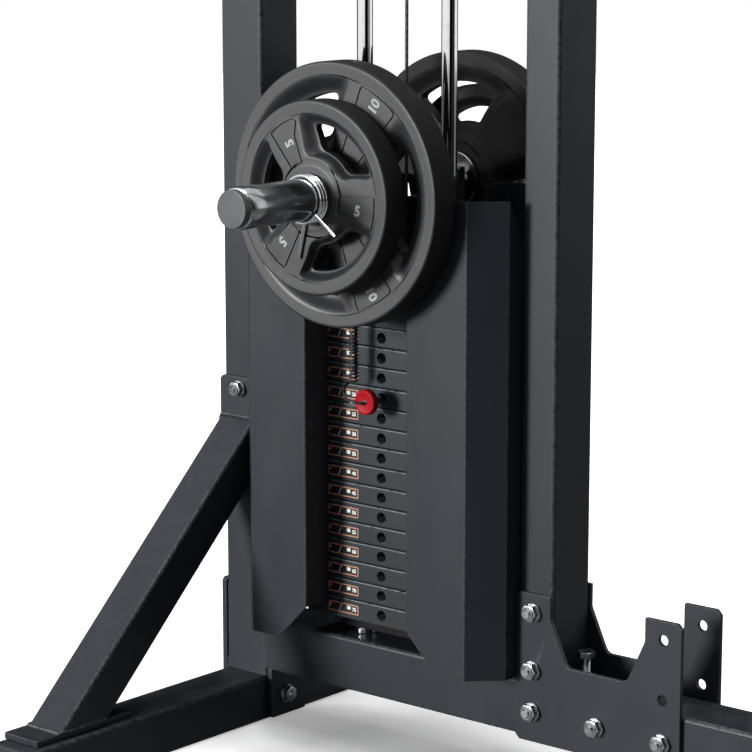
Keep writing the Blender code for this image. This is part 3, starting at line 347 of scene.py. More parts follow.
def anticlockwise(outline):
    """The outline in the turning sense in which its left is its inside."""
    x, y = outline.T
    area = np.sum(x * np.roll(y, -1) - np.roll(x, -1) * y)
    return outline if area > 0 else outline[::-1]


print("a plane's axes, for example XZ:", basis("XZ").tolist())


# %% Spun shapes and slabs
def spun(profile, at=(0, 0, 0), axis="Z", steps=48, closed=False, flip=1):
    """P(s, a) = at + h(s) along the axis + r(s) round it: a (radius, height) profile turned a full circle.

    An open profile starts and ends at radius 0, and a closed one is a ring. A profile may differ with the
    angle, steps counts the angles or gives them, and flip -1 sends heights backwards.
    """
    profile = np.asarray(profile, float)
    profile = profile[:, None] if profile.ndim == 2 else profile
    angles = full_turn(steps) if np.ndim(steps) == 0 else steps
    across = basis(AROUND[axis])
    points = profile[..., :1] * (directions(angles) @ across[:2]) + flip * profile[..., 1:] * across[2]
    return grid(points + np.asarray(at, float), wrap_rows=closed, wrap_columns=True)


def turned(profile, at=(0, 0, 0), axis="Z", steps=24):
    """A spun solid as a mesh of its own, to cut or join with."""
    return make_mesh("turned", [spun(profile, at, axis, steps)])


def drill(radius, low, high, at=(0, 0, 0), axis="Z", steps=24):
    """A round tool that bores from low to high."""
    return turned([(0, low), (radius, low), (radius, high), (0, high)], at, axis, steps)


def mirrored(half):
    """A profile that goes on as its own mirror image below height 0."""
    half = np.asarray(half, float)
    return np.concatenate([half, half[::-1] * [1, -1]])


def slab(outline, low, high, plane, edge=0.001, steps=3, low_edge=None):
    """An outline pushed from low to high across its plane, with a quarter round at both rims."""
    low, high = sorted((low, high))
    low_edge = edge if low_edge is None else low_edge
    outline = anticlockwise(np.asarray(outline, float))
    quarter = 1 - directions(np.linspace(0, math.pi / 2, steps + 1))
    upper = [(edge * inward, high - edge * drop) for drop, inward in quarter]
    lower = [(low_edge * inward, low + low_edge * rise) for rise, inward in quarter[::-1]]
    rings = np.array([lay(inset(outline, inward), plane, height) for inward, height in upper + lower])
    return [grid(rings, wrap_columns=True), flat_cap(rings[0]), flat_cap(rings[-1])]


square = slab(rectangle(1, 1, 0.1), 0, 1, "XY")
print("the sides of a square slab have", len(square[0][0]), "points")

# %% [markdown]
# A tube or a wire is a section carried along a path. The section has to stay square to the path without
# twisting, so each frame is the one before it, turned by the least that the path's bend asks for.

# %% Sections carried along paths
SPLINE = np.array([[0, 2, 0, 0], [-1, 0, 1, 0], [2, -5, 4, -1], [-1, 3, -3, 1]]) / 2
TUBE_WALL, TUBE_CORNER = 0.003, 0.005


def smooth_route(points, steps):
    """Reads a Catmull-Rom curve through given points, with the same number of steps in each stretch.

    Four neighbours give each stretch: the powers of t from 0 to 3, times the spline's table, times them.
    """
    points = np.asarray(points, float)
    ends = np.concatenate([points[:1], points, points[-1:]])
    powers = (np.arange(steps)[:, None] / steps) ** np.arange(4)
    stretches = [powers @ SPLINE @ ends[k : k + 4] for k in range(len(points) - 1)]
    return np.concatenate([*stretches, points[-1:]])


def path_frames(path):
    """Two unit vectors across the path at each of its points, carried along with no twist."""
    tangent = unit(np.gradient(path, axis=0))
    across = [unit(np.cross(tangent[0], np.eye(3)[np.abs(tangent[0]).argmin()]))]
    for here in tangent[1:]:
        across.append(unit(across[-1] - here * (across[-1] @ here)))
    across = np.array(across)
    return across, np.cross(tangent, across)


def carried(path, section, twist=0.0, scale=1.0, closed_path=False):
    """P(s, k) = path(s) + x(k) across(s) + y(k) other(s): a closed section along a path, ends capped.

    twist turns the section by an angle at each point of the path, and scale widens it there. A closed path
    has no caps.
    """
    across, other = path_frames(path)
    c, s = directions(np.broadcast_to(twist, len(path))).T[..., None]
    across, other = across * c + other * s, other * c - across * s
    size = np.broadcast_to(scale, len(path))[:, None, None]
    points = path[:, None] + size * (section[:, :1] * across[:, None] + section[:, 1:] * other[:, None])
    if closed_path:
        return walled(points)
    return [grid(points, wrap_columns=True), flat_cap(points[0]), flat_cap(points[-1])]


def box_tube(width, depth, low_end, high_end):
    """An open box tube. low_end and high_end place a (u, v) section in space, so an end may be mitred."""
    outer = rectangle(width, depth, TUBE_CORNER, 5)
    inner = rectangle(width - 2 * TUBE_WALL, depth - 2 * TUBE_WALL, TUBE_CORNER - TUBE_WALL / 2, 5)
    return walled([low_end(outer), high_end(outer), high_end(inner), low_end(inner)])


def straight(start, stop, step=0.003):
    """Points along a straight line, a step apart."""
    start, stop = np.array(start, float), np.array(stop, float)
    count = int(np.linalg.norm(stop - start) / step) + 1
    return start + (stop - start) * np.linspace(0, 1, count + 1)[:, None]


print("a line of 1 m has", len(straight((0, 0, 0), (1, 0, 0))), "points")

# %% [markdown]
# ## Finishes
# Powder paint, moulded rubber and plated metal each have a grain and flaws of their own. Effects that
# more than one finish uses are node groups: they put out a colour, a roughness and a height that vary
# over the surface. Everything that is uniform is set on the shader itself.

# %% Node helpers
def node(tree, kind, inputs=None, **settings):
    """Adds a node. inputs maps a socket's name or number to a value, or to the output that feeds it."""
    made = tree.nodes.new(kind)
    for key, value in settings.items():
        setattr(made, key, value)
    for key, value in (inputs or {}).items():
        if isinstance(value, bpy.types.NodeSocket):
            tree.links.new(value, made.inputs[key])
        else:
            made.inputs[key].default_value = value
    return made


def new_group(name, inputs):
    """An empty node group that puts out Colour, Roughness and Height, and its input and output ends."""
    tree = bpy.data.node_groups.new(name, "ShaderNodeTree")
    for label, value in inputs.items():
        kind = "NodeSocketColor" if isinstance(value, tuple) else "NodeSocketFloat"
        tree.interface.new_socket(label, in_out="INPUT", socket_type=kind).default_value = value
    tree.interface.new_socket("Colour", in_out="OUTPUT", socket_type="NodeSocketColor")
    for label in ("Roughness", "Height"):
        tree.interface.new_socket(label, in_out="OUTPUT", socket_type="NodeSocketFloat")
    return tree, tree.nodes.new("NodeGroupInput").outputs, tree.nodes.new("NodeGroupOutput").inputs


def put_out(tree, result, colour, rough, height):
    """Links a group's three results to its output end, and returns the group."""
    for label, value in (("Colour", colour), ("Roughness", rough), ("Height", height)):
        tree.links.new(value, result[label])
    return tree


def new_material(name, values):
    """A material, its node tree and its shader, with some of the shader's values set."""
    material = bpy.data.materials.new(name)
    material.use_nodes = True
    shader = material.node_tree.nodes["Principled BSDF"]
    for key, value in values.items():
        shader.inputs[key].default_value = value
    return material, material.node_tree, shader


def noise(tree, scale, detail=2.0, rough=0.5, stretch=(1, 1, 1), distortion=0.0):
    """Noise on Object coordinates, in cells per metre, stretched along the axes."""
    where = node(tree, "ShaderNodeTexCoord").outputs["Object"]
    where = node(tree, "ShaderNodeMapping", {"Vector": where, "Scale": stretch}).outputs[0]
    values = {"Vector": where, "Scale": scale, "Detail": detail}
    values = {**values, "Roughness": rough, "Distortion": distortion}
    return node(tree, "ShaderNodeTexNoise", values).outputs["Fac"]


def remap(tree, value, low, high, to_low=0.0, to_high=1.0):
    """Maps a value's range onto another, clamped."""
    inputs = {"Value": value, "From Min": low, "From Max": high, "To Min": to_low, "To Max": to_high}
    return node(tree, "ShaderNodeMapRange", inputs).outputs["Result"]


def maths(tree, operation, value, *more):
    """Arithmetic, from left to right."""
    for other in more:
        value = node(tree, "ShaderNodeMath", {0: value, 1: other}, operation=operation).outputs[0]
    return value


def mix_colours(tree, share, first, second):
    """The first colour, and the second by share."""
    return node(tree, "ShaderNodeMix", {0: share, 6: first, 7: second}, data_type="RGBA").outputs[2]


def brighten(tree, colour, factor):
    """A colour times a factor."""
    return node(tree, "ShaderNodeVectorMath", {0: colour, 3: factor}, operation="SCALE").outputs[0]


def edge_mask(tree, scale, low, high):
    """The mesh's edge marks, broken up by noise, as rubbing breaks up paint."""
    marks = node(tree, "ShaderNodeAttribute", attribute_name="edge").outputs["Fac"]
    return maths(tree, "MULTIPLY", marks, remap(tree, noise(tree, scale, 3.0, 0.6), low, high))


# %% [markdown]
# Powder paint is melted plastic dust. It leaves a fine orange peel, a cloudy sheen, and thins at the
# edges, where handling polishes it to a lighter grey. Dust lies on what faces up. On the stack plates the
# lighter grey goes strongly on the edges that face up: a painted highlight.

# %% Group for powder paint
def powder_coat_group():
    """Colour mottled in clouds and specks, rubbed edges, painted highlights, dust. Height: orange peel on a
    fine grain.
    """
    values = {"Paint": (0.04, 0.04, 0.05, 1.0), "Roughness": 0.45, "Grain Size": 900.0, "Wear And Highlight": 0.5}
    tree, given, result = new_group("powder coat", {**values, "Dust": 0.1, "Painted Highlight Up Only": 0.0})
    clouds = remap(tree, noise(tree, 5.0, 4.0, 0.6), 0.3, 0.7, 0.88, 1.12)
    specks = remap(tree, noise(tree, 1600.0, 1.0), 0.3, 0.7, 0.86, 1.14)
    colour = brighten(tree, given["Paint"], maths(tree, "MULTIPLY", clouds, specks))
    up = node(tree, "ShaderNodeSeparateXYZ", {0: node(tree, "ShaderNodeNewGeometry").outputs["Normal"]})
    # Painted highlight: this mask can keep the lighter edges to those that face up, where the light falls.
    upper = remap(tree, up.outputs["Z"], 0.12, 0.30)
    upper = maths(tree, "MAXIMUM", upper, maths(tree, "SUBTRACT", 1.0, given["Painted Highlight Up Only"]))
    edge_wear_and_highlight = maths(tree, "MULTIPLY", edge_mask(tree, 160.0, 0.35, 0.6), given["Wear And Highlight"], upper)
    colour = mix_colours(tree, edge_wear_and_highlight, colour, (0.20, 0.205, 0.215, 1.0))
    lying = remap(tree, up.outputs["Z"], 0.55, 0.95)
    dusty = remap(tree, noise(tree, 40.0, 6.0, 0.7), 0.4, 0.75)
    dust = maths(tree, "MULTIPLY", lying, dusty, given["Dust"])
    colour = mix_colours(tree, dust, colour, (0.25, 0.24, 0.23, 1.0))
    sheen = remap(tree, noise(tree, 14.0, 5.0, 0.65, (1, 1, 0.35)), 0.3, 0.7, -0.05, 0.06)
    rough = maths(tree, "ADD", given["Roughness"], sheen, maths(tree, "MULTIPLY", dust, 0.5))
    fine = maths(tree, "MULTIPLY", noise(tree, given["Grain Size"], 3.0, 0.6), 0.6)
    return put_out(tree, result, colour, rough, maths(tree, "ADD", fine, noise(tree, 330.0, 1.0)))


POWDER_COAT = powder_coat_group()
print("nodes in the paint:", len(POWDER_COAT.nodes))


# %% Groups for rubber and metal
def moulded_rubber_group():
    """Colour in faint clouds with pale scuffs. Height: the mould's blasted grain and shallow scuffs."""
    values = {"Rubber": (0.05, 0.05, 0.05, 1.0), "Roughness": 0.55, "Scuff": 0.4, "Grain Size": 700.0}
    tree, given, result = new_group("moulded rubber", values)
    clouds = remap(tree, noise(tree, 11.0, 5.0, 0.6), 0.3, 0.7, 0.86, 1.14)
    grain = noise(tree, given["Grain Size"], 2.0, 0.6)
    shade = maths(tree, "MULTIPLY", clouds, remap(tree, grain, 0.3, 0.7, 0.9, 1.1))
    colour = brighten(tree, given["Rubber"], shade)
    rubbed = remap(tree, noise(tree, 60.0, 8.0, 0.75, (1, 1, 1), 0.8), 0.56, 0.78)
    rubbed = maths(tree, "MAXIMUM", rubbed, edge_mask(tree, 120.0, 0.4, 0.7))
    rubbed = maths(tree, "MULTIPLY", rubbed, given["Scuff"])
    colour = mix_colours(tree, rubbed, colour, (0.16, 0.16, 0.165, 1.0))
    sheen = remap(tree, noise(tree, 25.0, 4.0, 0.6), 0.3, 0.7, -0.06, 0.06)
    rough = maths(tree, "ADD", given["Roughness"], sheen, maths(tree, "MULTIPLY", rubbed, 0.3))
    height = maths(tree, "ADD", grain, maths(tree, "MULTIPLY", noise(tree, 180.0, 2.0), 0.5))
    return put_out(tree, result, colour, rough, height)


def plated_metal_group():
    """Roughness in smudges and fine wipe marks, and a colour that dulls with them. Height: hairlines."""
    values = {"Metal": (0.8, 0.8, 0.82, 1.0), "Roughness": 0.1, "Smudge": 0.1, "Dulling": 0.2}
    tree, given, result = new_group("plated metal", values)
    smudge = remap(tree, noise(tree, 35.0, 6.0, 0.7), 0.42, 0.72)
    wipe = noise(tree, 260.0, 3.0, 0.6, (1, 1, 0.12))
    marks = maths(tree, "ADD", smudge, maths(tree, "MULTIPLY", wipe, 0.3))
    rough = maths(tree, "ADD", given["Roughness"], maths(tree, "MULTIPLY", given["Smudge"], marks))
    dull = maths(tree, "MULTIPLY", smudge, given["Dulling"])
    colour = brighten(tree, given["Metal"], maths(tree, "SUBTRACT", 1.0, dull))
    return put_out(tree, result, colour, rough, wipe)


MOULDED_RUBBER = moulded_rubber_group()
PLATED_METAL = plated_metal_group()
print("effect groups:", [group.name for group in bpy.data.node_groups])


# %% [markdown]
# Each finish is one shader fed by its group. The bump distance is the true height of the grain in metres.
# Paint and rubber here are nearly black, so what shows is mostly their sheen: its width and strength
# matter most.

# %% Finishes from the groups
def finish(name, slot, group, values, bump, bump_depth, metallic=0.0, specular=0.5, coat=0.0):
    """A material whose colour, roughness and bump come from an effect group with its own values."""
    even = {"Metallic": metallic, "Specular IOR Level": specular, "Coat Weight": coat, "Coat Roughness": 0.1}
    material, tree, shader = new_material(name, even)
    SLOT_OF[material.name] = slot
    effect = node(tree, "ShaderNodeGroup", values, node_tree=group).outputs
    tree.links.new(effect["Colour"], shader.inputs["Base Color"])
    tree.links.new(effect["Roughness"], shader.inputs["Roughness"])
    values = {"Strength": bump, "Distance": bump_depth, "Height": effect["Height"]}
    grain = node(tree, "ShaderNodeBump", values)
    tree.links.new(grain.outputs["Normal"], shader.inputs["Normal"])
    return material


def paint(name, slot, colour, rough, wear_and_highlight, painted_highlight_up_only=0.0, dust=0.1, grain=900.0, specular=0.31):
    """A powder paint, lighter at its rubbed edges; kept to the edges that face up, that is a painted
    highlight.
    """
    values = {"Paint": (*colour, 1.0), "Roughness": rough, "Grain Size": grain, "Wear And Highlight": wear_and_highlight}
    values = {**values, "Dust": dust, "Painted Highlight Up Only": painted_highlight_up_only}
    return finish(name, slot, POWDER_COAT, values, 0.35, 0.00012, specular=specular)


def rubber(name, slot, colour, rough, scuff, grain=700.0, bump=0.4, **shader):
    """A moulded rubber or plastic."""
    values = {"Rubber": (*colour, 1.0), "Roughness": rough, "Scuff": scuff, "Grain Size": grain}
    return finish(name, slot, MOULDED_RUBBER, values, bump, 0.00015, **shader)


def metal(name, slot, colour, rough, smudge, dulling, bump):
    """A plated or polished metal."""
    values = {"Metal": (*colour, 1.0), "Roughness": rough, "Smudge": smudge, "Dulling": dulling}
    return finish(name, slot, PLATED_METAL, values, bump, 0.00005, metallic=1.0)


BLUE_BLACK, STACK_BLACK, CORD_BLACK = (0.017, 0.020, 0.027), (0.016, 0.021, 0.025), (0.008, 0.008, 0.009)
FRAME_PAINT = paint("frame powder paint", "frame_paint", BLUE_BLACK, 0.42, 0.25)
SHROUD_PAINT = paint("guard powder paint", "shroud_paint", BLUE_BLACK, 0.41, 0.2)
# The stack plates' strong lighter grey on upward edges is a painted highlight.
STACK_PAINT = paint("stack plate paint", "plate_paint", STACK_BLACK, 0.45, 4.0, 1.0, 0.2, 1200.0, 0.32)
DISC_RUBBER = rubber("disc rubber", "disc_rubber", (0.026, 0.027, 0.029), 0.44, 0.14)
# Painted shade: the disc rubber painted darker, for the treads and the faces that turn towards the machine.
SHADED_DISC_RUBBER = rubber("disc rubber with painted shade", None, (0.0125, 0.0128, 0.0135), 0.6, 0.06, specular=0.2)
NUMBER_RUBBER = rubber("raised number rubber", "disc_rubber", (0.44, 0.445, 0.45), 0.5, 0.1, specular=0.4)
# Painted shade: the buffer's rubber is painted darker for the shade under the lowest plate.
SHADED_BUFFER_RUBBER = rubber("buffer rubber with painted shade", "disc_rubber", (0.008, 0.008, 0.009), 0.6, 0.05, specular=0.15)
NYLON = rubber("pulley nylon", "pulley_nylon", (0.022, 0.022, 0.024), 0.38, 0.4, 400.0, 0.15)
BUSH_NYLON = rubber("bush nylon", None, (0.30, 0.30, 0.29), 0.45, 0.1, 400.0, 0.1)
END_CAP_PLASTIC = rubber("end cap plastic", None, (0.014, 0.014, 0.015), 0.42, 0.2, 700.0, 0.3)
SATIN_PLUG = rubber("satin plug", "chrome", (0.125, 0.128, 0.135), 0.36, 0.06, 1100.0, 0.15, specular=0.3)
PIN_RED = rubber("red pin lacquer", "pin_red", (0.42, 0.002, 0.010), 0.5, 0.0, 700.0, 0.05, specular=0.15)
CORD_PLASTIC = rubber("lanyard plastic", "cord_plastic", CORD_BLACK, 0.2, 0.02, 700.0, 0.04, coat=0.1)
CABLE_COAT = rubber("cable coating", "cable_coat", (0.018, 0.018, 0.020), 0.34, 0.15, 700.0, 0.15)
LABEL_BLACK = rubber("label ground", None, (0.012, 0.012, 0.013), 0.35, 0.1, 1500.0, 0.04)
LABEL_ORANGE = rubber("label orange print", None, (0.62, 0.30, 0.20), 0.4, 0.1, 1500.0, 0.04)
LABEL_WHITE = rubber("label white print", None, (0.92, 0.91, 0.88), 0.4, 0.05, 1500.0, 0.04)
CHROME = metal("bright chrome", "chrome", (0.80, 0.81, 0.83), 0.05, 0.06, 0.08, 0.02)
# Painted reflection: the horn sleeves take the chrome painted darker, for the dark that it mirrors.
DARKENED_SLEEVE_CHROME = metal("sleeve chrome with painted dark reflection", "chrome", (0.50, 0.505, 0.51), 0.13, 0.12, 0.3, 0.02)
ZINC = metal("zinc plate", "zinc_plate", (0.46, 0.47, 0.49), 0.17, 0.2, 0.35, 0.15)
# Painted shade: steel painted dark, for the rod nuts and the stem, which sit in shade.
SHADE_DARKENED_STEEL = metal("steel darkened for painted shade", "zinc_plate", (0.13, 0.13, 0.14), 0.32, 0.2, 0.3, 0.1)
print(len(bpy.data.materials), "materials with the frame's own")

# %% [markdown]
# ## Pin lanyard
# The pin hangs on a curly cord, so that nobody loses it. It leaves a hole in the head plate, winds into a
# tight spring and runs slack to the pin's head. The route is the CAD's own. It is limp and thin, so a
# round section carried along the curve, 24 points to a turn, is all it needs.

# %% Pin lanyard
PIN_Z, ANCHOR_Z, PLATE_FACE = 0.46095, 0.5695, -0.0483
CORD_RADIUS = 0.0015
CURL_TURNS, CURL_STEPS, CURL_PITCH = 17, 24, 0.0044
CURL_X, CURL_Y, CURL_RADIUS = -0.026, -0.070, 0.0045
CURL_TOP = 0.486 + CURL_TURNS * CURL_PITCH

turn = np.arange(CURL_TURNS * CURL_STEPS + 1)[:, None] / CURL_STEPS
curls = CURL_RADIUS * directions(math.pi / 2 - 2 * math.pi * turn[:, 0]) + [CURL_X, CURL_Y]
curls = np.hstack([curls, CURL_TOP - CURL_PITCH * turn])
lead_in = [
    (CURL_X, PLATE_FACE, ANCHOR_Z),
    (CURL_X, PLATE_FACE - 0.003, ANCHOR_Z),
    (CURL_X - 0.001, PLATE_FACE - 0.008, ANCHOR_Z - 0.003),
    (CURL_X - 0.003, CURL_Y + CURL_RADIUS + 0.001, CURL_TOP + 0.003),
    curls[0],
]
tail = [
    curls[-1],
    (CURL_X + 0.001, CURL_Y + CURL_RADIUS - 0.001, 0.483),
    (-0.0335, -0.074, 0.4795),
    (-0.0290, -0.085, 0.4690),
    (-0.0150, -0.0895, 0.4610),
    (-0.0030, -0.0870, PIN_Z),
    (0.0, -0.084, PIN_Z),
    (0.0, -0.0813, PIN_Z),
]
lanyard_path = np.concatenate([smooth_route(lead_in, 6)[:-1], curls, smooth_route(tail, 8)[1:]])
cord = carried(lanyard_path, circle(CORD_RADIUS, 12))
lanyard = add_piece("curly_pin_lanyard", cord, CORD_PLASTIC, None, "pin_lanyard", flat=False)
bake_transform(lanyard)

# %% [markdown]
# ## Cable
# Steel wire rope in a tight black coating, which shows the lay of its strands. Its section is a circle
# with seven shallow lobes, turned along the path.

# %% Cable
CABLE_RADIUS, LAY_LENGTH = 0.0022, 0.030
PULLEY_Z, PULLEY_PITCH, BAR_X = 2.1003, 0.045, 0.760
CABLE_FOOT, SWIVEL_TOP = 0.6321, 1.9543


def rope(path):
    """r(a) = 0.9 R + 0.1 R |cos(3.5 a)|: seven strands under a coating, turned once in each lay length."""
    angles = full_turn(28)
    section = (CABLE_RADIUS * (0.90 + 0.10 * np.abs(np.cos(3.5 * angles))))[:, None] * directions(angles)
    travelled = np.cumsum(np.linalg.norm(np.diff(path, axis=0), axis=1))
    return carried(path, section, twist=2 * math.pi * np.append(0.0, travelled) / LAY_LENGTH)


quarter = PULLEY_PITCH * directions(np.linspace(0, math.pi / 2, 24))
rear_x, front_x = PULLEY_PITCH, BAR_X - PULLEY_PITCH
over_rear = lay(quarter * [-1, 1] + [rear_x, PULLEY_Z], "XZ", 0)
over_front = lay(quarter[:, ::-1] + [front_x, PULLEY_Z], "XZ", 0)
top_line = np.concatenate([over_rear[:-1], straight(over_rear[-1], over_front[0]), over_front[1:]])
rear_line = straight((0, 0, CABLE_FOOT), (0, 0, PULLEY_Z))
front_line = straight((BAR_X, 0, PULLEY_Z), (BAR_X, 0, SWIVEL_TOP + 0.0003))
rear_run = add_piece("cable_rear", rope(rear_line), CABLE_COAT, None, "cable_rear_run", flat=False)
add_piece("cable_over_top", rope(top_line), CABLE_COAT, "tower", "cable_top", flat=False)
front_run = add_piece("cable_front", rope(front_line), CABLE_COAT, None, "cable_front_run", flat=False)
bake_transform(rear_run)
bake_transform(front_run)
print("cable runs:", [len(run.data.polygons) for run in (rear_run, front_run)], "faces")

# %% [markdown]
# ## Frame tubes
# The uprights, the beam, the rear rail, the front foot and the boom are welded box tube with rolled
# corners and open ends. Four rings of section points, outer low and high, then inner high and low, make a
# tube with its wall. A plastic cap sits in each end that shows.

# %% Uprights, beam and rails
BEAM_BACK, BEAM_FRONT, BEAM_HIGH, BEAM_MID = -0.2087, 0.860, 0.070, (0.0, 0.105)
RAIL_MID, RAIL_HALF, RAIL_HEIGHT = (-0.244, 0.030), 0.450, 0.060
SPLICE_FACE, SPLICE_BOTTOM, SPLICE_TOP = -0.2873, 0.020, 0.182
FOOT_X, FOOT_HALF, FOOT_WIDE, FOOT_HIGH = 0.830, 0.300, 0.060, 0.0697
TAB_THICK, BEAM_WIDE, RAIL_WIDE, BOOM_WIDE = 0.008, 0.075, 0.070, 0.070
CAP_GAP, CAP_SUNK, CAP_END = 0.0004, 0.001, 0.012


def tube(width, depth, plane, low, high, middle):
    """A straight box tube from low to high across a plane, about a middle in it."""
    ends = [lambda section, height=height: lay(section + middle, plane, height) for height in (low, high)]
    return box_tube(width, depth, *ends)


def tube_in(node_name, plane):
    """A box tube that fills a CAD node's box, along the axis that its plane leaves out."""
    low, high = [basis(plane) @ corner for corner in span(node_name)]
    return tube(*(high - low)[:2], plane, low[2], high[2], (low + high)[:2] / 2)


def end_cap(width, depth, plane, face, inward, middle):
    """A plastic plug in a tube's end: a rounded slab, set 1 mm into the end that lies at face."""
    gap = 2 * TUBE_WALL + CAP_GAP
    outline = rectangle(width - gap, depth - gap, TUBE_CORNER - TUBE_WALL / 2) + middle
    return slab(outline, face + inward * CAP_SUNK, face + inward * CAP_END, plane, 0.0015)


tab = rounded([(-0.033, 0.003), (0.033, 0.003), (0.033, 0.0715), (-0.033, 0.0715)], 0.003)
beam = tube(BEAM_WIDE, BEAM_HIGH, "YZ", BEAM_BACK, BEAM_FRONT, BEAM_MID)
beam += slab(tab, BEAM_BACK, BEAM_BACK + TAB_THICK, "YZ")
splice_half = [(0.035, SPLICE_BOTTOM), (0.035, 0.178), (0.031, SPLICE_TOP)]
splice = rounded([(-0.035, SPLICE_BOTTOM), *splice_half, (-0.031, SPLICE_TOP), (-0.035, 0.178)], 0.002)
rail = tube(RAIL_WIDE, RAIL_HEIGHT, "XZ", -RAIL_HALF, RAIL_HALF, RAIL_MID)
rail += slab(splice, SPLICE_FACE, SPLICE_FACE + TAB_THICK, "YZ", 0.0008)
rail += slab(splice * [0.97, 0.3] + [0, 0.02], -0.2800, -0.2770, "YZ", 0.0008)
tubes = {
    "rear_upright_tube": (tube_in("rear_upright", "XY"), "rear_upright"),
    "front_upright_tube": (tube_in("front_upright", "XY"), "front_upright"),
    "base_beam_tube": (beam, "base_beam"),
    "front_foot_tube": (tube_in("front_foot_rail", "XZ"), "front_foot_rail"),
    "rear_rail_tube": (rail, "rear_foot_rail"),
}
for name, (parts, node_name) in tubes.items():
    add_piece(name, parts, FRAME_PAINT, "tower", node_name)
for side, label in SIDES:
    cap = end_cap(RAIL_WIDE, RAIL_HEIGHT, "XZ", side * RAIL_HALF, -side, RAIL_MID)
    add_piece(f"rear_rail_cap_{label}", cap, END_CAP_PLASTIC, "tower")
    cap = end_cap(FOOT_WIDE, FOOT_HIGH, "XZ", side * FOOT_HALF, -side, (FOOT_X, FOOT_HIGH / 2))
    add_piece(f"front_foot_cap_{label}", cap, END_CAP_PLASTIC, "tower")
cap = end_cap(BEAM_WIDE, BEAM_HIGH, "YZ", BEAM_FRONT, -1, BEAM_MID)
add_piece("beam_end_cap", cap, END_CAP_PLASTIC, "tower")

# %% [markdown]
# ## Braces
# A slanting tube joins each end of the rear rail to a tab high on the rear upright. Both its ends are
# mitred: the section's points slide along the tube until they meet the tab's plane or the foot plate's.

# %% Braces with their tabs, feet and weld beads
BRACE_X, BRACE_SLOPE, BRACE_WIDTH, BRACE_DEPTH = -0.249, 0.96, 0.060, 0.056
TAB_FACE, FOOT_TOP, SHOULDER, SUNK = -0.0433, 0.0683, 0.405, 0.002
TAB_LOW, TAB_TOP, TAB_CUT = 0.295, 0.458, 0.0048
SLANT = math.hypot(1.0, BRACE_SLOPE)
HALF_CUT = BRACE_DEPTH / 2 * SLANT
MITRE_Z = SHOULDER - HALF_CUT
FOOT_MID = TAB_FACE - (MITRE_Z - FOOT_TOP) / BRACE_SLOPE


def bead(corners, radius=0.0022, step=0.0015):
    """A weld bead round corner points: a round section that swells and shrinks as the welder stepped."""
    sides = zip(corners, np.roll(corners, -1, axis=0))
    path = np.concatenate([straight(*ends, step)[:-1] for ends in sides])
    count = np.arange(len(path))
    ripple = 1 + 0.16 * np.abs(np.sin(count * 0.9)) + 0.07 * np.sin(count * 0.13)
    return carried(path, circle(radius, 8), scale=ripple, closed_path=True)


def upper_end(section, side):
    """Section points slid along the brace to a plane just inside the tab."""
    rise = MITRE_Z + SUNK * BRACE_SLOPE + section[:, 1] * SLANT
    return np.stack([BRACE_X + section[:, 0], 0 * rise - side * (TAB_FACE + SUNK), rise], 1)


def lower_end(section, side):
    """Section points slid along the brace to a plane just inside the foot plate."""
    drop = MITRE_Z - FOOT_TOP + SUNK + section[:, 1] * SLANT
    y = -side * (TAB_FACE - drop / BRACE_SLOPE)
    return np.stack([BRACE_X + section[:, 0], y, 0 * drop + FOOT_TOP - SUNK], 1)


def brace_parts(side):
    """The brace's own shape on the side -1 (near) or 1 (far), as parts."""
    ends = [lambda section, end=end: end(section, side) for end in (lower_end, upper_end)]
    parts = box_tube(BRACE_WIDTH, BRACE_DEPTH, *ends)
    half, reach = BRACE_WIDTH / 2, HALF_CUT / BRACE_SLOPE + 0.040
    corners = [(half, TAB_LOW), (half, TAB_TOP - TAB_CUT), (half - TAB_CUT, TAB_TOP)]
    corners += [(-u, z) for u, z in reversed(corners)]
    outline = rounded(np.array(corners) + [BRACE_X, 0], 0.003)
    parts += slab(outline, -side * (TAB_FACE + TAB_THICK), -side * TAB_FACE, "XZ")
    foot = rectangle(BRACE_WIDTH, 2 * reach, 0.004) + [BRACE_X, -side * FOOT_MID]
    parts += slab(foot, FOOT_TOP - TAB_THICK, FOOT_TOP, "XY")
    ring = rectangle(BRACE_WIDTH - 0.001, BRACE_DEPTH - 0.001, 0.004, 2)
    parts += bead(upper_end(ring, side) + [0, side * SUNK, 0])
    return parts + bead(lower_end(ring, side) + [0, 0, SUNK])


for side, label in SIDES:
    add_piece(f"brace_{label}_tube", brace_parts(side), FRAME_PAINT, "tower", f"brace_{label}")
print(f"brace runs from z = {SHOULDER} m on the upright to y = {FOOT_MID:.3f} m on the rail")

# %% [markdown]
# ## Gussets and fasteners
# Two cut plates clamp the front upright to the beam. Their bolts are zinc plated: washer, nut and a
# threaded tip on the near side, and a bolt head on the far side. A hex is cut from round bar, so its
# corners are turned off: in words, the top face ends on a circle, and the flats rise to meet a cone.

# %% Hex fasteners
WASHER_THICK, HEAD_SIZE, NYLON_LOW, NYLON_HIGH = 0.0025, 0.0105, 0.0070, 0.0100
FLATS, CHAMFER, HEX_CONE = 0.92, 0.96, math.radians(30)


def hex_turned(across, bore, height, at, axis, flip=1, steps=72):
    """P(s, a): the lower of a hexagonal prism and a cone of 30 degrees, bored or with a closed top."""
    bend = (full_turn(steps) + math.pi / 6) % (math.pi / 3) - math.pi / 6
    flats = across / np.cos(bend)
    face = across * CHAMFER
    corner_height = height - (flats - face) * math.tan(HEX_CONE)
    rows = [(bore, 0), (flats, 0), (flats, corner_height), (face, height), (bore, height)]
    profile = [np.stack(np.broadcast_arrays(r, h, bend)[:2], axis=-1) for r, h in rows]
    return spun(profile, at, axis, steps, closed=True, flip=flip)


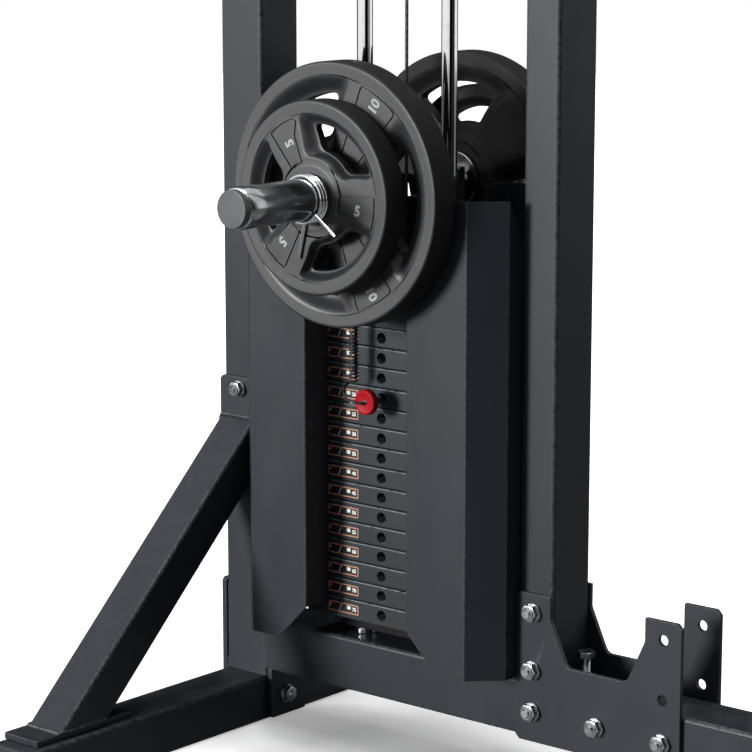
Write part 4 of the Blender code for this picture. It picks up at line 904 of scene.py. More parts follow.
def washer(bore, radius, thick, at, axis, flip=1):
    """A stamped ring with rolled edges."""
    edge = thick * 0.3
    profile = [(bore, 0), (radius - edge, 0), (radius, edge), (radius, thick - edge), (radius - edge, thick)]
    return spun([*profile, (bore, thick)], at, axis, 48, closed=True, flip=flip)


def threaded_end(radius, low, high, at, axis, flip=1, pitch=0.00125):
    """A bolt's end: ridges and grooves half a pitch apart, then a chamfered tip."""
    count = np.arange(2 * max(int((high - low) / pitch), 1))
    thread = np.stack([radius - 0.0006 * (count % 2), low + count * pitch / 2], axis=-1)
    return spun([(0.0, low), *thread, (radius - 0.0012, high), (0.0, high)], at, axis, 32, flip=flip)


def nut_and_washer(x, z, face, side, tip=0.0025, size=HEAD_SIZE, bolt=0.006, washer_radius=0.012):
    """What shows of a fastener on a vertical face: washer, locking nut with its collar, and the tip."""
    collar = [(bolt, NYLON_LOW), (size * 0.80, NYLON_LOW), (size * 0.80, NYLON_HIGH - 0.0008)]
    collar += [(size * 0.70, NYLON_HIGH), (bolt, NYLON_HIGH)]
    lifted = (x, side * (face + WASHER_THICK), z)
    return [
        washer(bolt, washer_radius, WASHER_THICK, (x, side * face, z), "Y", side),
        hex_turned(size * FLATS, bolt, 0.0078, lifted, "Y", side),
        spun(collar, lifted, "Y", 40, closed=True, flip=side),
        threaded_end(bolt, 0.0, NYLON_HIGH + tip, lifted, "Y", side),
    ]


def bolt_head(x, z, face, side):
    """Washer and closed hex head on a vertical face."""
    head = hex_turned(HEAD_SIZE * FLATS, 0.0, 0.0070, (x, side * (face + WASHER_THICK), z), "Y", side)
    return [washer(0.0054, 0.012, WASHER_THICK, (x, side * face, z), "Y", side), head]


GUSSET_FACE = 0.0441
BOLTS = ((0.234, 0.229), (0.234, 0.157), (0.234, 0.105), (0.328, 0.105), (0.422, 0.105))
for number, (x, z) in enumerate(BOLTS, 1):
    parts = nut_and_washer(x, z, GUSSET_FACE, -1) + bolt_head(x, z, GUSSET_FACE, 1)
    nodes = [f"gusset_bolt_{number}"] if number < 5 else []
    add_piece(f"gusset_fastener_{number}", parts, ZINC, "tower", *nodes)
for side, label in SIDES:
    brace_bolt = nut_and_washer(-0.245, 0.443, 0.0436, side, 0.001, 0.0095, 0.005, 0.0105)
    add_piece(f"brace_bolt_{label}", brace_bolt, ZINC, "tower")

# %% [markdown]
# A gusset's outline is a saddle about the middle of the post's bolts. Seven holes go through it.

# %% Gusset plates
SADDLE_MID = 0.328
half = [(0.285, 0.169), (0.260, 0.223), (0.260, 0.252), (0.215, 0.252)]
half += [(0.209, 0.246), (0.209, 0.073), (0.215, 0.067)]
arcs = [0.010, 0.006, 0.001, 0.003, 0.003, 0.003, 0.003]
gusset = rounded(half + [(2 * SADDLE_MID - x, z) for x, z in reversed(half)], arcs + arcs[::-1])
holes = [(x, z) for x in (0.234, 0.422) for z in (0.229, 0.157, 0.105)] + [(0.328, 0.105)]
for side, label in SIDES:
    plate = make_mesh("gusset", slab(gusset, side * 0.0378, side * 0.0438, "XZ", 0.0009))
    drills = [drill(0.0068, -0.1, 0.1, (x, 0, z), "Y") for x, z in holes]
    add_piece(f"gusset_{label}_plate", combine(plate, drills), FRAME_PAINT, "tower", f"gusset_{label}")
print("gusset holes:", len(holes))

# %% [markdown]
# The stop bolt stands on the beam behind the gussets, and one more bolt and nut hold the beam's rear tab.
# Guide rods end in a collar and a nut.

# %% Stop bolt, tab bolt and guide rods
STOP_AT = (0.282, 0, 0.1404)
ROD_X, ROD_RADIUS, ROD_BORE = 0.067, 0.010, 0.0114
RODS = (-ROD_X, ROD_X)
ROD_HOLES = [(x, ROD_BORE) for x in RODS]

stop = [
    hex_turned(0.0097, 0.006, 0.0098, STOP_AT, "Z"),
    threaded_end(0.006, -0.020, 0.033, STOP_AT, "Z"),
    hex_turned(0.0097, 0.0, 0.0075, (0.282, 0, 0.1730), "Z"),
]
add_piece("stop_bolt_and_nut", stop, ZINC, "tower", "stop_bolt")
tab_seat = np.array([BEAM_BACK + TAB_THICK, -0.004, 0.031])
tab_bolt = [
    washer(0.005, 0.0125, 0.0022, tab_seat, "X"),
    hex_turned(0.0092, 0.005, 0.0068, tab_seat + [0.0022, 0, 0], "X"),
    threaded_end(0.005, 0.0, 0.0105, tab_seat, "X"),
]
add_piece("tab_bolt", tab_bolt, ZINC, "tower")

rod_profile = [(0.0, 0.0665), (0.0058, 0.0665), (0.0058, 0.1403), (0.0130, 0.1403), (0.0140, 0.1413)]
rod_profile += [(0.0140, 0.1487), (0.0130, 0.1497), (0.0102, 0.1497), (ROD_RADIUS, 0.1499)]
rod_profile += [(ROD_RADIUS, 0.60), (ROD_RADIUS, 1.30), (ROD_RADIUS, 2.029), (0.0090, 2.030), (0.0, 2.030)]
for x, label in zip(RODS, ("rear", "front")):
    rod = [spun(rod_profile, (x, 0, 0), "Z", 64)]
    add_piece(f"polished_rod_{label}", rod, CHROME, "tower", f"guide_rod_{label}", flat=False)
    nut = [hex_turned(0.0082, 0.0058, 0.0026, (x, 0, 0.0697), "Z", -1)]
    # The rod nut is painted dark: painted shade.
    add_piece(f"rod_nut_{label}", nut, SHADE_DARKENED_STEEL, "tower")
cushion = make_mesh("cushion", slab(rectangle(0.190, 0.040, 0.008), 0.1500, 0.1697, "XY", 0.002))
cushion = combine(cushion, [drill(ROD_BORE, 0.1, 0.2, (x, 0, 0), steps=32) for x in RODS])
# The buffer is painted darker: painted shade under the lowest plate.
add_piece("stack_buffer", cushion, SHADED_BUFFER_RUBBER, "tower", "stack_cushion")
print("rods at x =", RODS, "m, 20 mm thick")

# %% [markdown]
# ## Boom and pulleys
# The boom lies across both uprights. Each pulley hangs half out of a slot, between two ears, and turns on
# a bolt. Its groove fits the cable, and holes through its web lighten it, as moulded pulleys have.

# %% Boom
BOOM_BACK, BOOM_END, BOOM_TOP, BOOM_MID = -0.279, 0.745, 2.0903, (0.0, 2.0553)
EAR_IN, EAR_OUT = 0.013, 0.018

ears, cuts = [], []
for pulley_x in (rear_x, front_x):
    ear = rectangle(0.044, 0.0303, [0.013, 0.013, 0.0005, 0.0005], 8) + [pulley_x, 2.10315]
    for side, label in SIDES:
        ears.append(make_mesh("ear", slab(ear, side * EAR_IN, side * EAR_OUT, "XZ", 0.0008)))
    slot_plan = rectangle(0.108, 0.026, 0.006) + [pulley_x, 0]
    cuts.append(make_mesh("slot", slab(slot_plan, BOOM_TOP - 0.009, BOOM_TOP + 0.003, "XY", 0.0001)))
    cuts.append(drill(0.0053, -0.1, 0.1, (pulley_x, 0, PULLEY_Z), "Y"))
cuts += [drill(radius, 2.015, 2.030, (x, 0, 0)) for x, radius in [(0.0, 0.006), *ROD_HOLES]]
boom = make_mesh("boom", tube(BOOM_WIDE, BOOM_WIDE, "YZ", BOOM_BACK, BOOM_END, BOOM_MID))
boom = combine(combine(boom, ears, "UNION"), cuts)
add_piece("boom_tube", boom, FRAME_PAINT, "tower", "top_boom")
boom_caps = []
for x, inward in ((BOOM_BACK, 1), (BOOM_END, -1)):
    boom_caps += end_cap(BOOM_WIDE, BOOM_WIDE, "YZ", x, inward, BOOM_MID)
add_piece("boom_end_caps", boom_caps, END_CAP_PLASTIC, "tower")
print(f"boom {BOOM_END - BOOM_BACK:.3f} m long")

# %% Pulleys
half = [(0.0055, 0.0090), (0.0105, 0.0090), (0.0120, 0.0075), (0.0130, 0.0045), (0.0360, 0.0045)]
half += [(0.0385, 0.0088), (0.0490, 0.0090), (0.0500, 0.0082), (0.0500, 0.0066), (0.0460, 0.0030)]
groove = [(0.0457 - 0.0026 * math.cos(t), 0.0026 * math.sin(t)) for t in np.linspace(math.pi / 2, 0, 5)]
axle = mirrored([(0.0, 0.0243), (0.0078, 0.0243), (0.0090, 0.0232), (0.0090, 0.0183), (0.0050, 0.0183)])
for pulley_x, label in ((rear_x, "rear"), (front_x, "front")):
    at = np.array([pulley_x, 0, PULLEY_Z])
    wheel = make_mesh("wheel", [spun(mirrored(half + groove), at, "Y", 72, closed=True)])
    drills = [drill(0.0065, -0.02, 0.02, at + hole, "Y") for hole in lay(circle(0.0245, 6), "XZ", 0)]
    add_piece(f"{label}_pulley_wheel", combine(wheel, drills), NYLON, f"{label}_wheel", f"{label}_pulley")
    add_piece(f"{label}_pulley_bolt", [spun(axle, at, "Y", 40)], ZINC, "tower", f"{label}_axle")
print("pulleys 0.1 m across")

# %% [markdown]
# ## Weight stack
# Fifteen cast and painted plates and a thicker head plate. One plate is shaped and bored once, and copied
# up the stack. The pin hole in its near face has a turned chamfer, whose lower lip catches the light.
# Plates leave a narrow seam between them. The lowest has none below it, because it lies on its cushion.

# %% Stack plates and head plate
PLATE_COUNT, RESTING = 15, 11
PLATE_PITCH, PLATE_HIGH, PLATE_LOW = 0.0253, 0.0250, 0.170
HEAD_LOW, HEAD_HIGH = 0.5495, 0.040
PLATE_LONG, PLATE_WIDE, STEM_BORE = 0.250, 0.096, 0.0110


def stack_block(height, edge, pin_hole, seam, low_edge):
    """A block from height 0, bored for the rods and the stem, with a chamfered pin hole if it has one."""
    outline = rectangle(PLATE_LONG, PLATE_WIDE, 0.0035, 5)
    body = make_mesh("plate", slab(outline, seam, height, "XY", edge, low_edge=low_edge))
    bores = [*ROD_HOLES, (0.0, STEM_BORE)]
    tools = [drill(radius, -0.01, height + 0.01, (x, 0, 0), steps=32) for x, radius in bores]
    if pin_hole:
        mouth = [(0, -0.06), (0.0080, -0.0490), (0.0066, -0.0468)]
        hole = mouth + [(radius, -y) for radius, y in reversed(mouth)]
        tools.append(turned(hole, (0, 0, height / 2), "Y", 32))
    return combine(body, tools)


def stack_body(number):
    """The pin holds the upper plates. The others stay on the frame."""
    return "tower" if number <= RESTING else "carriage"


lowest = stack_block(PLATE_HIGH, 0.0016, True, 0.0, 0.0003)
plate = stack_block(PLATE_HIGH, 0.0016, True, 0.0008, 0.0016)
for number in range(1, PLATE_COUNT + 1):
    copy = moved(plate if number > 1 else lowest, (0, 0, PLATE_LOW + (number - 1) * PLATE_PITCH))
    add_piece(f"stack_plate_{number:02}", copy, STACK_PAINT, stack_body(number), f"weight_plate_{number:02}")
head = moved(stack_block(HEAD_HIGH, 0.0018, False, 0.0, 0.0018), (0, 0, HEAD_LOW))
head = combine(head, [drill(0.0024, -0.06, -0.04, (CURL_X, 0, ANCHOR_Z), "Y", 16)])
add_piece("stack_head_plate", head, STACK_PAINT, "carriage", "head_plate")
stem = [(0, 0.1705), (0.0085, 0.1705), (0.0105, 0.1725), (0.0105, 0.5895), (0, 0.5895)]
stem = [spun(stem, steps=40)]
# The polished stem is painted dark: painted shade.
add_piece("polished_stem", stem, SHADE_DARKENED_STEEL, "carriage", "selector_stem", slot="chrome", flat=False)
bush = [(0.0108, 0.5893), (0.0165, 0.5893), (0.0165, 0.5915), (0.0155, 0.5925), (0.0108, 0.5925)]
add_piece("rod_bushes", [spun(bush, (x, 0, 0), "Z", 40, closed=True) for x in RODS], BUSH_NYLON, "carriage")
print("stack:", PLATE_COUNT, "plates at a pitch of", PLATE_PITCH, "m")

# %% [markdown]
# Each plate carries a foil label with its load. It is generic here: a black ground, an orange frame with
# a slanted stroke, and a plain number. The print stands a tenth of a millimetre proud, which is how a
# thick ink sits.

# %% Meshes of numbers
def number_mesh(words, size, thick):
    """The outline of a number as a flat mesh of a given capital height, about its own middle, facing +Z."""
    text = bpy.data.curves.new("number", "FONT")
    text.body = words
    text.align_x = "CENTER"
    text.align_y = "CENTER"
    text.size = size / 0.72
    text.extrude = thick / 2
    text.offset = size * 0.055
    text.resolution_u = 3
    carrier = new_object("number", text)
    graph = bpy.context.evaluated_depsgraph_get()
    mesh = bpy.data.meshes.new_from_object(carrier.evaluated_get(graph))
    bpy.data.objects.remove(carrier)
    return cleaned(mesh)


def mesh_part(mesh):
    """A mesh's points and triangles, so that it can join other parts."""
    mesh.calc_loop_triangles()
    return read(mesh.vertices, "co", 3, np.float32).astype(float), read(mesh.loop_triangles, "vertices", 3)


print("a 5 has", len(number_mesh("5", 0.005, 0.0001).polygons), "faces")

# %% Labels
LABEL_WIDE, LABEL_TALL, LABEL_X = 0.0515, 0.0142, -0.06225
GROUND_BACK, GROUND_FACE, PRINT_FACE = -0.0480, -0.0483, -0.0484
NUMBER_X, NUMBER_Y, NUMBER_HIGH, LOAD_STEP = -0.0444, -0.04838, 0.0048, 5

outline = rectangle(LABEL_WIDE, LABEL_TALL, 0.0015) + [LABEL_X, 0]
ground = make_mesh("ground", slab(outline, GROUND_FACE, GROUND_BACK, "XZ", 0.0001))
outer = rectangle(LABEL_WIDE - 0.0016, LABEL_TALL - 0.0016, 0.0012) + [LABEL_X, 0]
inner = rectangle(LABEL_WIDE - 0.0044, LABEL_TALL - 0.0044, 0.0006) + [LABEL_X, 0]
rows = ((outer, GROUND_FACE), (outer, PRINT_FACE), (inner, PRINT_FACE), (inner, GROUND_FACE))
border = make_mesh("border", walled([lay(ring, "XZ", y) for ring, y in rows]))
stroke = rounded([(-0.0705, -0.0045), (-0.0692, -0.0045), (-0.0650, 0.0045), (-0.0663, 0.0045)], 0.0002, 2)
tick = rounded([(-0.0848, 0.0002), (-0.0830, 0.0002), (-0.0830, 0.0034), (-0.0848, 0.0034)], 0.0003, 2)
mark = rectangle(0.0058, 0.0046, 0.0005) + [-0.0535, 0.0014]
marks = sum([slab(shape, PRINT_FACE, GROUND_FACE, "XZ", 0.00003, 1) for shape in (stroke, tick, mark)], [])
for number in range(1, PLATE_COUNT + 1):
    body = stack_body(number)
    up = (0, 0, PLATE_LOW + (number - 1) * PLATE_PITCH + PLATE_HIGH / 2)
    add_piece(f"label_{number:02}", moved(ground, up), LABEL_BLACK, body)
    add_piece(f"label_frame_{number:02}", moved(border, up), LABEL_ORANGE, body, flat=False)
    load = str(LOAD_STEP * (PLATE_COUNT + 1 - number))
    points, triangles = mesh_part(number_mesh(load, NUMBER_HIGH, 0.0001))
    points = points @ [[1, 0, 0], [0, 0, 1], [0, -1, 0]] + [NUMBER_X, NUMBER_Y, 0]
    words = moved(make_mesh("words", [(points, triangles), *marks]), up)
    add_piece(f"label_number_{number:02}", words, LABEL_WHITE, body, flat=False)
print("labels:", PLATE_COUNT, "with numbers up to", LOAD_STEP * PLATE_COUNT)

# %% [markdown]
# ## Yoke and loading horns
# A thick strap, bent to a U, stands on the head plate and carries both horns. Each horn is one turned
# sleeve: a root, a stop flange, the polished sleeve that takes the discs, and a satin plug in its end
# with a bright ring.

# %% Yoke and horns
HORN_RADIUS, HORN_END, HORN_TIP = 0.025, 0.3066, 0.3156

half = [(0.079, 0.5898), (0.079, 0.742), (0.067, 0.742), (0.067, 0.6018)]
strap = rounded(half + [(-y, z) for y, z in reversed(half)], [0.014, 0.004, 0.004, 0.005] * 2, 6)
stud = [(0, 0.5960), (0.011, 0.5960), (0.011, 0.6300), (0.0092, 0.6318), (0, 0.6318)]
yoke = make_mesh("strap", slab(strap, -0.030, 0.030, "YZ", 0.0012))
yoke = combine(yoke, [turned(stud, steps=32)], "UNION")
add_piece("horn_yoke_strap", yoke, STACK_PAINT, "carriage", "horn_yoke")

sleeve = [(0.0, 0.0793), (0.0192, 0.0793), (0.0200, 0.0801), (0.0200, 0.0945), (0.0340, 0.0945)]
sleeve += [(0.0350, 0.0955), (0.0350, 0.0995), (0.0340, 0.1005), (0.0252, 0.1005), (HORN_RADIUS, 0.1007)]
sleeve += [(HORN_RADIUS, 0.2000), (HORN_RADIUS, 0.2800), (HORN_RADIUS, 0.3050), (0.0243, 0.3062)]
sleeve += [(0.0234, HORN_END), (0.0, HORN_END)]
plug = [(0.0, 0.3060), (0.0225, 0.3060), (0.0225, 0.3146), (0.0222, 0.3153)]
plug += [(0.0215, HORN_TIP), (0.0, HORN_TIP)]
ring = [(0.0226, 0.3064), (0.0241, 0.3064), (0.0243, 0.3070), (0.0239, 0.3077), (0.0226, 0.3079)]
for side, label in SIDES:
    shells = [spun(shape, (0, 0, HORN_Z), "Y", 96, shape is ring, side) for shape in (sleeve, plug, ring)]
    # The sleeve and its ring take chrome painted darker: a painted dark reflection.
    add_piece(f"horn_{label}_sleeve", shells[:1], DARKENED_SLEEVE_CHROME, "carriage", f"horn_{label}", flat=False)
    add_piece(f"horn_{label}_plug", shells[1:2], SATIN_PLUG, "carriage")
    add_piece(f"horn_{label}_ring", shells[2:], DARKENED_SLEEVE_CHROME, "carriage", flat=False)
print("horns 2 x", HORN_RADIUS, "m, tips at", HORN_TIP, "m from the middle")

# %% [markdown]
# ## Rubber discs
# A moulded disc has a broad flat rim, a hub ring, and between them three dished pockets, each open in its
# middle so that a hand can grip through it. The disc is three equal sectors. In each, every line round
# the window has the same number of points, so the face, the dished slope, the rolled lip and the window's
# wall are rows of one grid. A window line lives on a unit square, u from inside to outside and v across,
# and this maps to the disc: radius = inner + u (outer - inner), angle = v times a half angle that grows
# with u.

# %% Disc sectors
IN_STEPS, OUT_STEPS, SIDE_STEPS, CORNER_STEPS = 18, 36, 8, 5
BORE_RADIUS, HUB_RADIUS, RIM_WIDE, POCKET_DEEP, FACE_SUNK = 0.0258, 0.0468, 0.0145, 0.012, 0.0004


def window_line(inner, outer, half_in, half_out, corner, lean_in, lean_out):
    """(radius, angle in degrees) round a sector's window, with rounded corners, in a fixed number of points.

    The line's middle leans anticlockwise by lean_in degrees at its inside and lean_out at its outside. It
    runs along the inside, up one side, back along the outside, and down the mirror image of that side.
    """
    ru = corner / (outer - inner)
    v_in, v_out = corner / np.radians([inner * half_in, outer * half_out])
    arc_c, arc_s = 1 - directions(np.linspace(0, math.pi / 2, CORNER_STEPS + 1)[1:-1]).T
    side_u = np.concatenate([ru * arc_c, np.linspace(ru, 1 - ru, SIDE_STEPS + 1), 1 - ru * arc_s])
    side_v = np.concatenate([1 - v_in * arc_s, np.ones(SIDE_STEPS + 1), 1 - v_out * arc_c])
    inside = np.linspace(-1 + v_in, 1 - v_in, IN_STEPS + 1)
    outside = np.linspace(1 - v_out, -1 + v_out, OUT_STEPS + 1)
    u = np.concatenate([0 * inside, side_u, 0 * outside + 1, side_u[::-1]])
    v = np.concatenate([inside, side_v, outside, -side_v[::-1]])
    angle = v * (half_in + u * (half_out - half_in)) + lean_in + u * (lean_out - lean_in)
    return np.stack([inner + u * (outer - inner), angle], axis=-1)


def disc_sector(disc, turn):
    """One sector's sheet: face border, pocket edge, dished slope, lip, wall, and the same again behind."""
    r_in, r_out, a_in, a_out = disc["window"]
    face, rim = disc["thick"] / 2 - FACE_SUNK, disc["radius"] - RIM_WIDE
    pocket = np.array([HUB_RADIUS + 0.0015, rim - 0.0010, 38.0, 44.0, 0.010, *disc["lean"]])
    window = np.array([r_in - 0.0012, r_out + 0.0012, a_in + 0.8, a_out + 0.8, 0.008, 1.5, 1.5])
    opening = np.array([r_in, r_out, a_in, a_out, 0.008, 1.5, 1.5])
    rows = [((HUB_RADIUS, rim, 60.0, 60.0, 0.0, 0.0, 0.0), face)]
    for share in np.linspace(0, 1, 11):
        dish = POCKET_DEEP * (1 - math.cos(math.pi * share)) / 2
        rows.append((pocket + (window - pocket) * share, face - dish))
    for share in (0.4, 0.8, 1.0):
        lip = 0.0015 * (1 - math.sqrt(1 - share**2))
        rows.append((window + (opening - window) * share, face - POCKET_DEEP - lip))
    lines = np.array([window_line(*values) for values, height in rows])
    heights = np.array([height for values, height in rows])[:, None]
    lines, heights = np.concatenate([lines, lines[::-1]]), np.concatenate([heights, -heights[::-1]])
    flat = lines[..., :1] * directions(np.radians(lines[..., 1] + turn))
    return grid(np.dstack([flat, np.broadcast_to(heights, flat.shape[:2])]), wrap_columns=True)


print("points round a window:", len(window_line(0.05, 0.1, 30, 30, 0.008, 0, 0)))


# %% Rim and hub
def sector_angles(turn, steps):
    """The angles of the sectors' own points, so that the rim's and the hub's points meet theirs."""
    share = np.linspace(-60.0, 60.0, steps + 1)[:-1] + turn
    return np.radians(np.concatenate([share, share + 120, share + 240]))


def disc_mesh(disc, turn):
    """A whole disc about the Z axis, its outer face up, with a window's middle at the angle turn."""
    half, radius, edge = disc["thick"] / 2, disc["radius"], 0.0035
    face = half - FACE_SUNK
    arc = edge * directions(np.linspace(math.pi / 2, 0, 7)) + [radius - edge, half - edge]
    rim = mirrored([(radius - RIM_WIDE, face), (radius - 0.0085, half - 0.0002), *arc])
    hub = [(HUB_RADIUS, face), (0.0400, face), (0.0385, face + 0.0004), (0.0375, half), (0.0300, half)]
    hub += [(0.0290, half - 0.0008), (0.0272, half - 0.0010), (BORE_RADIUS, half - 0.0022)]
    bands = [spun(rim, steps=sector_angles(turn, OUT_STEPS))]
    bands.append(spun(mirrored(hub), steps=sector_angles(turn, IN_STEPS)))
    return make_mesh("disc", [disc_sector(disc, turn + 120 * k) for k in range(3)] + bands)


# %% [markdown]
# Between the pockets lie pads, each drawn by a narrow groove, with raised figures. A pad's outline is
# given in millimetres along and across its spoke. The groove is the ring between it and the same line set
# in by 1.9 mm, cut 2.4 mm deep. The figures are plain numbers, made a mesh before they are put in place.

# %% Disc pads and numbers
GROOVE_WIDE, GROOVE_DEEP = 0.0019, 0.0024


def arc_points(radius, first, last, count):
    """Points of an arc about the disc's middle, in mm."""
    return [(math.sqrt(radius**2 - w**2), w) for w in np.linspace(first, last, count)]


def pad_outline(points, radii):
    """Pad corners in mm along and anticlockwise across the spoke, as a rounded outline in metres."""
    return rounded(np.array(points) / 1000, np.array(radii) / 1000, 5)


SMALL_PAD = arc_points(43.0, -7, 12, 4) + [(95.0, 23.5)] + arc_points(98.0, 20, -19, 7)
SMALL_PAD = pad_outline(SMALL_PAD + [(91.0, -22.0), (76.0, -11.5)], [3, 0, 0, 3, 3] + [0] * 7 + [4, 7])
LARGE_PAD = arc_points(50.0, -13, 13, 4) + arc_points(142.5, 31, -31, 9)
LARGE_PAD = pad_outline(LARGE_PAD, [3, 0, 0, 3, 6] + [0] * 7 + [6])
SIZES = {
    "large": {
        "radius": 0.160, "thick": 0.0400, "window": (0.0715, 0.1215, 24.0, 31.5), "lean": (6.0, 2.0),
        "back": 0.101, "pad": LARGE_PAD, "words": "10", "words_at": 0.1285, "words_high": 0.0130,
    },
    "small": {
        "radius": 0.1165, "thick": 0.0355, "window": (0.057, 0.0875, 26.0, 36.0), "lean": (10.0, 3.5),
        "back": 0.1415, "pad": SMALL_PAD, "words": "5", "words_at": 0.072, "words_high": 0.0125,
    },
}
DISCS = (
    (-1, "near", "large", -1.0, (58.5, 179.0, 299.0)),
    (-1, "near", "small", 56.0, (118.0, 352.0, 230.0)),
    (1, "far", "large", 94.0, (154.0, 274.0, 34.0)),
    (1, "far", "small", 89.0, (149.0, 269.0, 29.0)),
)


def at_angle(points, degrees):
    """Flat points turned about the disc's middle."""
    c, s = directions(math.radians(degrees))
    return points @ np.array([[c, s], [-s, c]])


def on_side(mesh, side, face_middle):
    """Stands a shape made about +Z at the horns, facing outwards, its angles read from the near side."""
    mesh.transform(Matrix(((1, 0, 0, 0), (0, 0, side, face_middle), (0, 1, 0, HORN_Z), (0, 0, 0, 1))))
    if side > 0:
        mesh.flip_normals()
    return mesh


def pad_groove(outline, half):
    """The tool that cuts a pad's groove: the ring between its outline and the same line set in."""
    outline = anticlockwise(outline)
    within = inset(outline, GROOVE_WIDE)
    rows = ((outline, -GROOVE_DEEP), (outline, 0.002), (within, 0.002), (within, -GROOVE_DEEP))
    return make_mesh("groove", walled([lay(line, "XY", half + height) for line, height in rows]))


def raised_number(disc, side, degrees, half):
    """The pad's number, raised from the face and turned to its spoke."""
    points, triangles = mesh_part(number_mesh(disc["words"], disc["words_high"], 0.0014))
    flat = at_angle(points[:, :2] * [1, -side] + [disc["words_at"], 0.0], degrees)
    return np.column_stack([flat, points[:, 2] + half - FACE_SUNK - 0.0003]), triangles


for side, label, size, turn, spokes in DISCS:
    disc = SIZES[size]
    half = disc["thick"] / 2
    face_middle = side * (disc["back"] + half)
    grooves = [pad_groove(at_angle(disc["pad"], degrees), half) for degrees in spokes]
    mesh = combine(disc_mesh(disc, turn), grooves)
    # Painted shade: the tread and the back faces get the darker copy of the rubber.
    middles = read(mesh.polygons, "center", 3, np.float32)
    painted_shade_faces = (np.hypot(middles[:, 0], middles[:, 1]) > disc["radius"] - 0.0009) | (middles[:, 2] < -0.2 * half)
    name, body = f"{size}_rubber_{label}", f"{label}_{size}"
    skins = [DISC_RUBBER, SHADED_DISC_RUBBER]
    add_piece(name, on_side(mesh, side, face_middle), skins, body, f"{size}_disc_{label}")
    mesh.polygons.foreach_set("material_index", painted_shade_faces.astype(np.int32))
    numbers = make_mesh("numbers", [raised_number(disc, side, degrees, half) for degrees in spokes])
    add_piece(name + "_numbers", on_side(numbers, side, face_middle), NUMBER_RUBBER, body, flat=False)
    print(name, "has", len(mesh.polygons), "faces")

# %% [markdown]
# ## Spring collars
# A collar is one length of spring wire: three turns round the horn, then both ends bent outwards as
# handles. The wire grips because its turns are a little smaller than the sleeve until the handles are
# squeezed.

# %% Spring collars
COLLAR_WIRE, COLLAR_BACK = 0.0022, 0.1775
COIL_RADIUS = (HORN_RADIUS + COLLAR_WIRE + 0.0003) / math.cos(math.pi / 16)
COIL_TURNS, START_ANGLE, TURN_RISE = 51 / 16, math.radians(-104), 0.0049
FIRST_HANDLE, LAST_HANDLE, HANDLE_STEPS = 0.075, 0.066, 9


def collar_path(side):
    """Handle, coil and handle: (r cos a, side times height, horn height + r sin a)."""
    bend = COIL_RADIUS + 3 * COLLAR_WIRE
    turns = np.pad(np.linspace(0, COIL_TURNS, int(COIL_TURNS * 32)), HANDLE_STEPS, "edge")
    coil = np.full(len(turns) - 2 * HANDLE_STEPS, COIL_RADIUS)
    handles = np.linspace([FIRST_HANDLE, bend], [bend, LAST_HANDLE], HANDLE_STEPS).T
    radii = np.concatenate([handles[0], coil, handles[1]])
    points = lay(radii[:, None] * directions(START_ANGLE + 2 * math.pi * turns), "XZ", 0) + [0, 0, HORN_Z]
    points[:, 1] = side * (COLLAR_BACK + COLLAR_WIRE + TURN_RISE * turns)
    return points


for side, label in SIDES:
    wire = carried(collar_path(side), circle(COLLAR_WIRE, 16))
    add_piece(f"spring_collar_{label}", wire, CHROME, f"{label}_collar", f"collar_{label}", flat=False)
print(f"collars: {COIL_TURNS:.2f} turns of {2000 * COLLAR_WIRE:.1f} mm wire")

# %% [markdown]
# ## Selector pin
# A steel pin with a lacquered red head, whose rim is rolled and whose face is slightly dished. A button
# in its middle holds the cord.

# %% Selector pin
knob = [(0.0, 0.0712), (0.0140, 0.0710), (0.0153, 0.0716), (0.0160, 0.0730)]
knob += [(0.0160, 0.0780), (0.0155, 0.0797), (0.0145, 0.0807), (0.0132, 0.0810)]
knob += [(0.0118, 0.0806), (0.0095, 0.0800), (0.0050, 0.0798), (0.0, 0.0798)]
button = [(0.0, 0.0797), (0.0034, 0.0797), (0.0034, 0.0803), (0.0024, 0.0809), (0.0, 0.0810)]
tip, root = [-corner[1] for corner in span("selector_pin_shank")][::-1]
shank = [(0.0, tip), (0.0036, tip), (0.0050, tip + 0.0020), (0.0050, root), (0.0, root)]


def on_pin(profile, steps):
    """A profile spun round the pin, its heights towards the near side."""
    return [spun(profile, (0, 0, PIN_Z), "Y", steps, flip=-1)]


add_piece("red_pin_head", on_pin(knob, 64), PIN_RED, "pin", "selector_pin_head")
add_piece("pin_cord_button", on_pin(button, 32), END_CAP_PLASTIC, "pin", slot="pin_red", flat=False)
add_piece("pin_steel_shank", on_pin(shank, 32), ZINC, "pin", "selector_pin_shank", flat=False)
print(f"pin shank from y = {-root:.4f} to {-tip:.4f}")

# %% [markdown]
# ## Pull bar
# The bar hangs in a swivel cup on the cable's end. It is polished tube, bent down at both ends. Its line
# is straight to 400 mm, and then drops by 90 mm times the share of the bend to the power 1.4.

# %% Pull bar and swivel
BAR_Z, BAR_RADIUS, SWIVEL_LOW = 1.8803, 0.014, 1.9143
BEND_START, BEND_END, BAR_DROP, DROP_POWER = 0.400, 0.600, 0.090, 1.4

cup = [(0.0, 0.040), (0.0080, 0.040), (0.0092, 0.0395), (0.0146, 0.0315), (0.0150, 0.0300), (0.0150, 0.0010)]
cup += [(0.0140, 0.0), (0.0068, 0.0), (0.0068, 0.0037), (0.0103, 0.0037), (0.0103, 0.0108), (0.0, 0.0108)]
cup = [spun(cup, (BAR_X, 0, SWIVEL_LOW))]
add_piece("swivel_cup", cup, CHROME, "hook", "bar_swivel", flat=False)

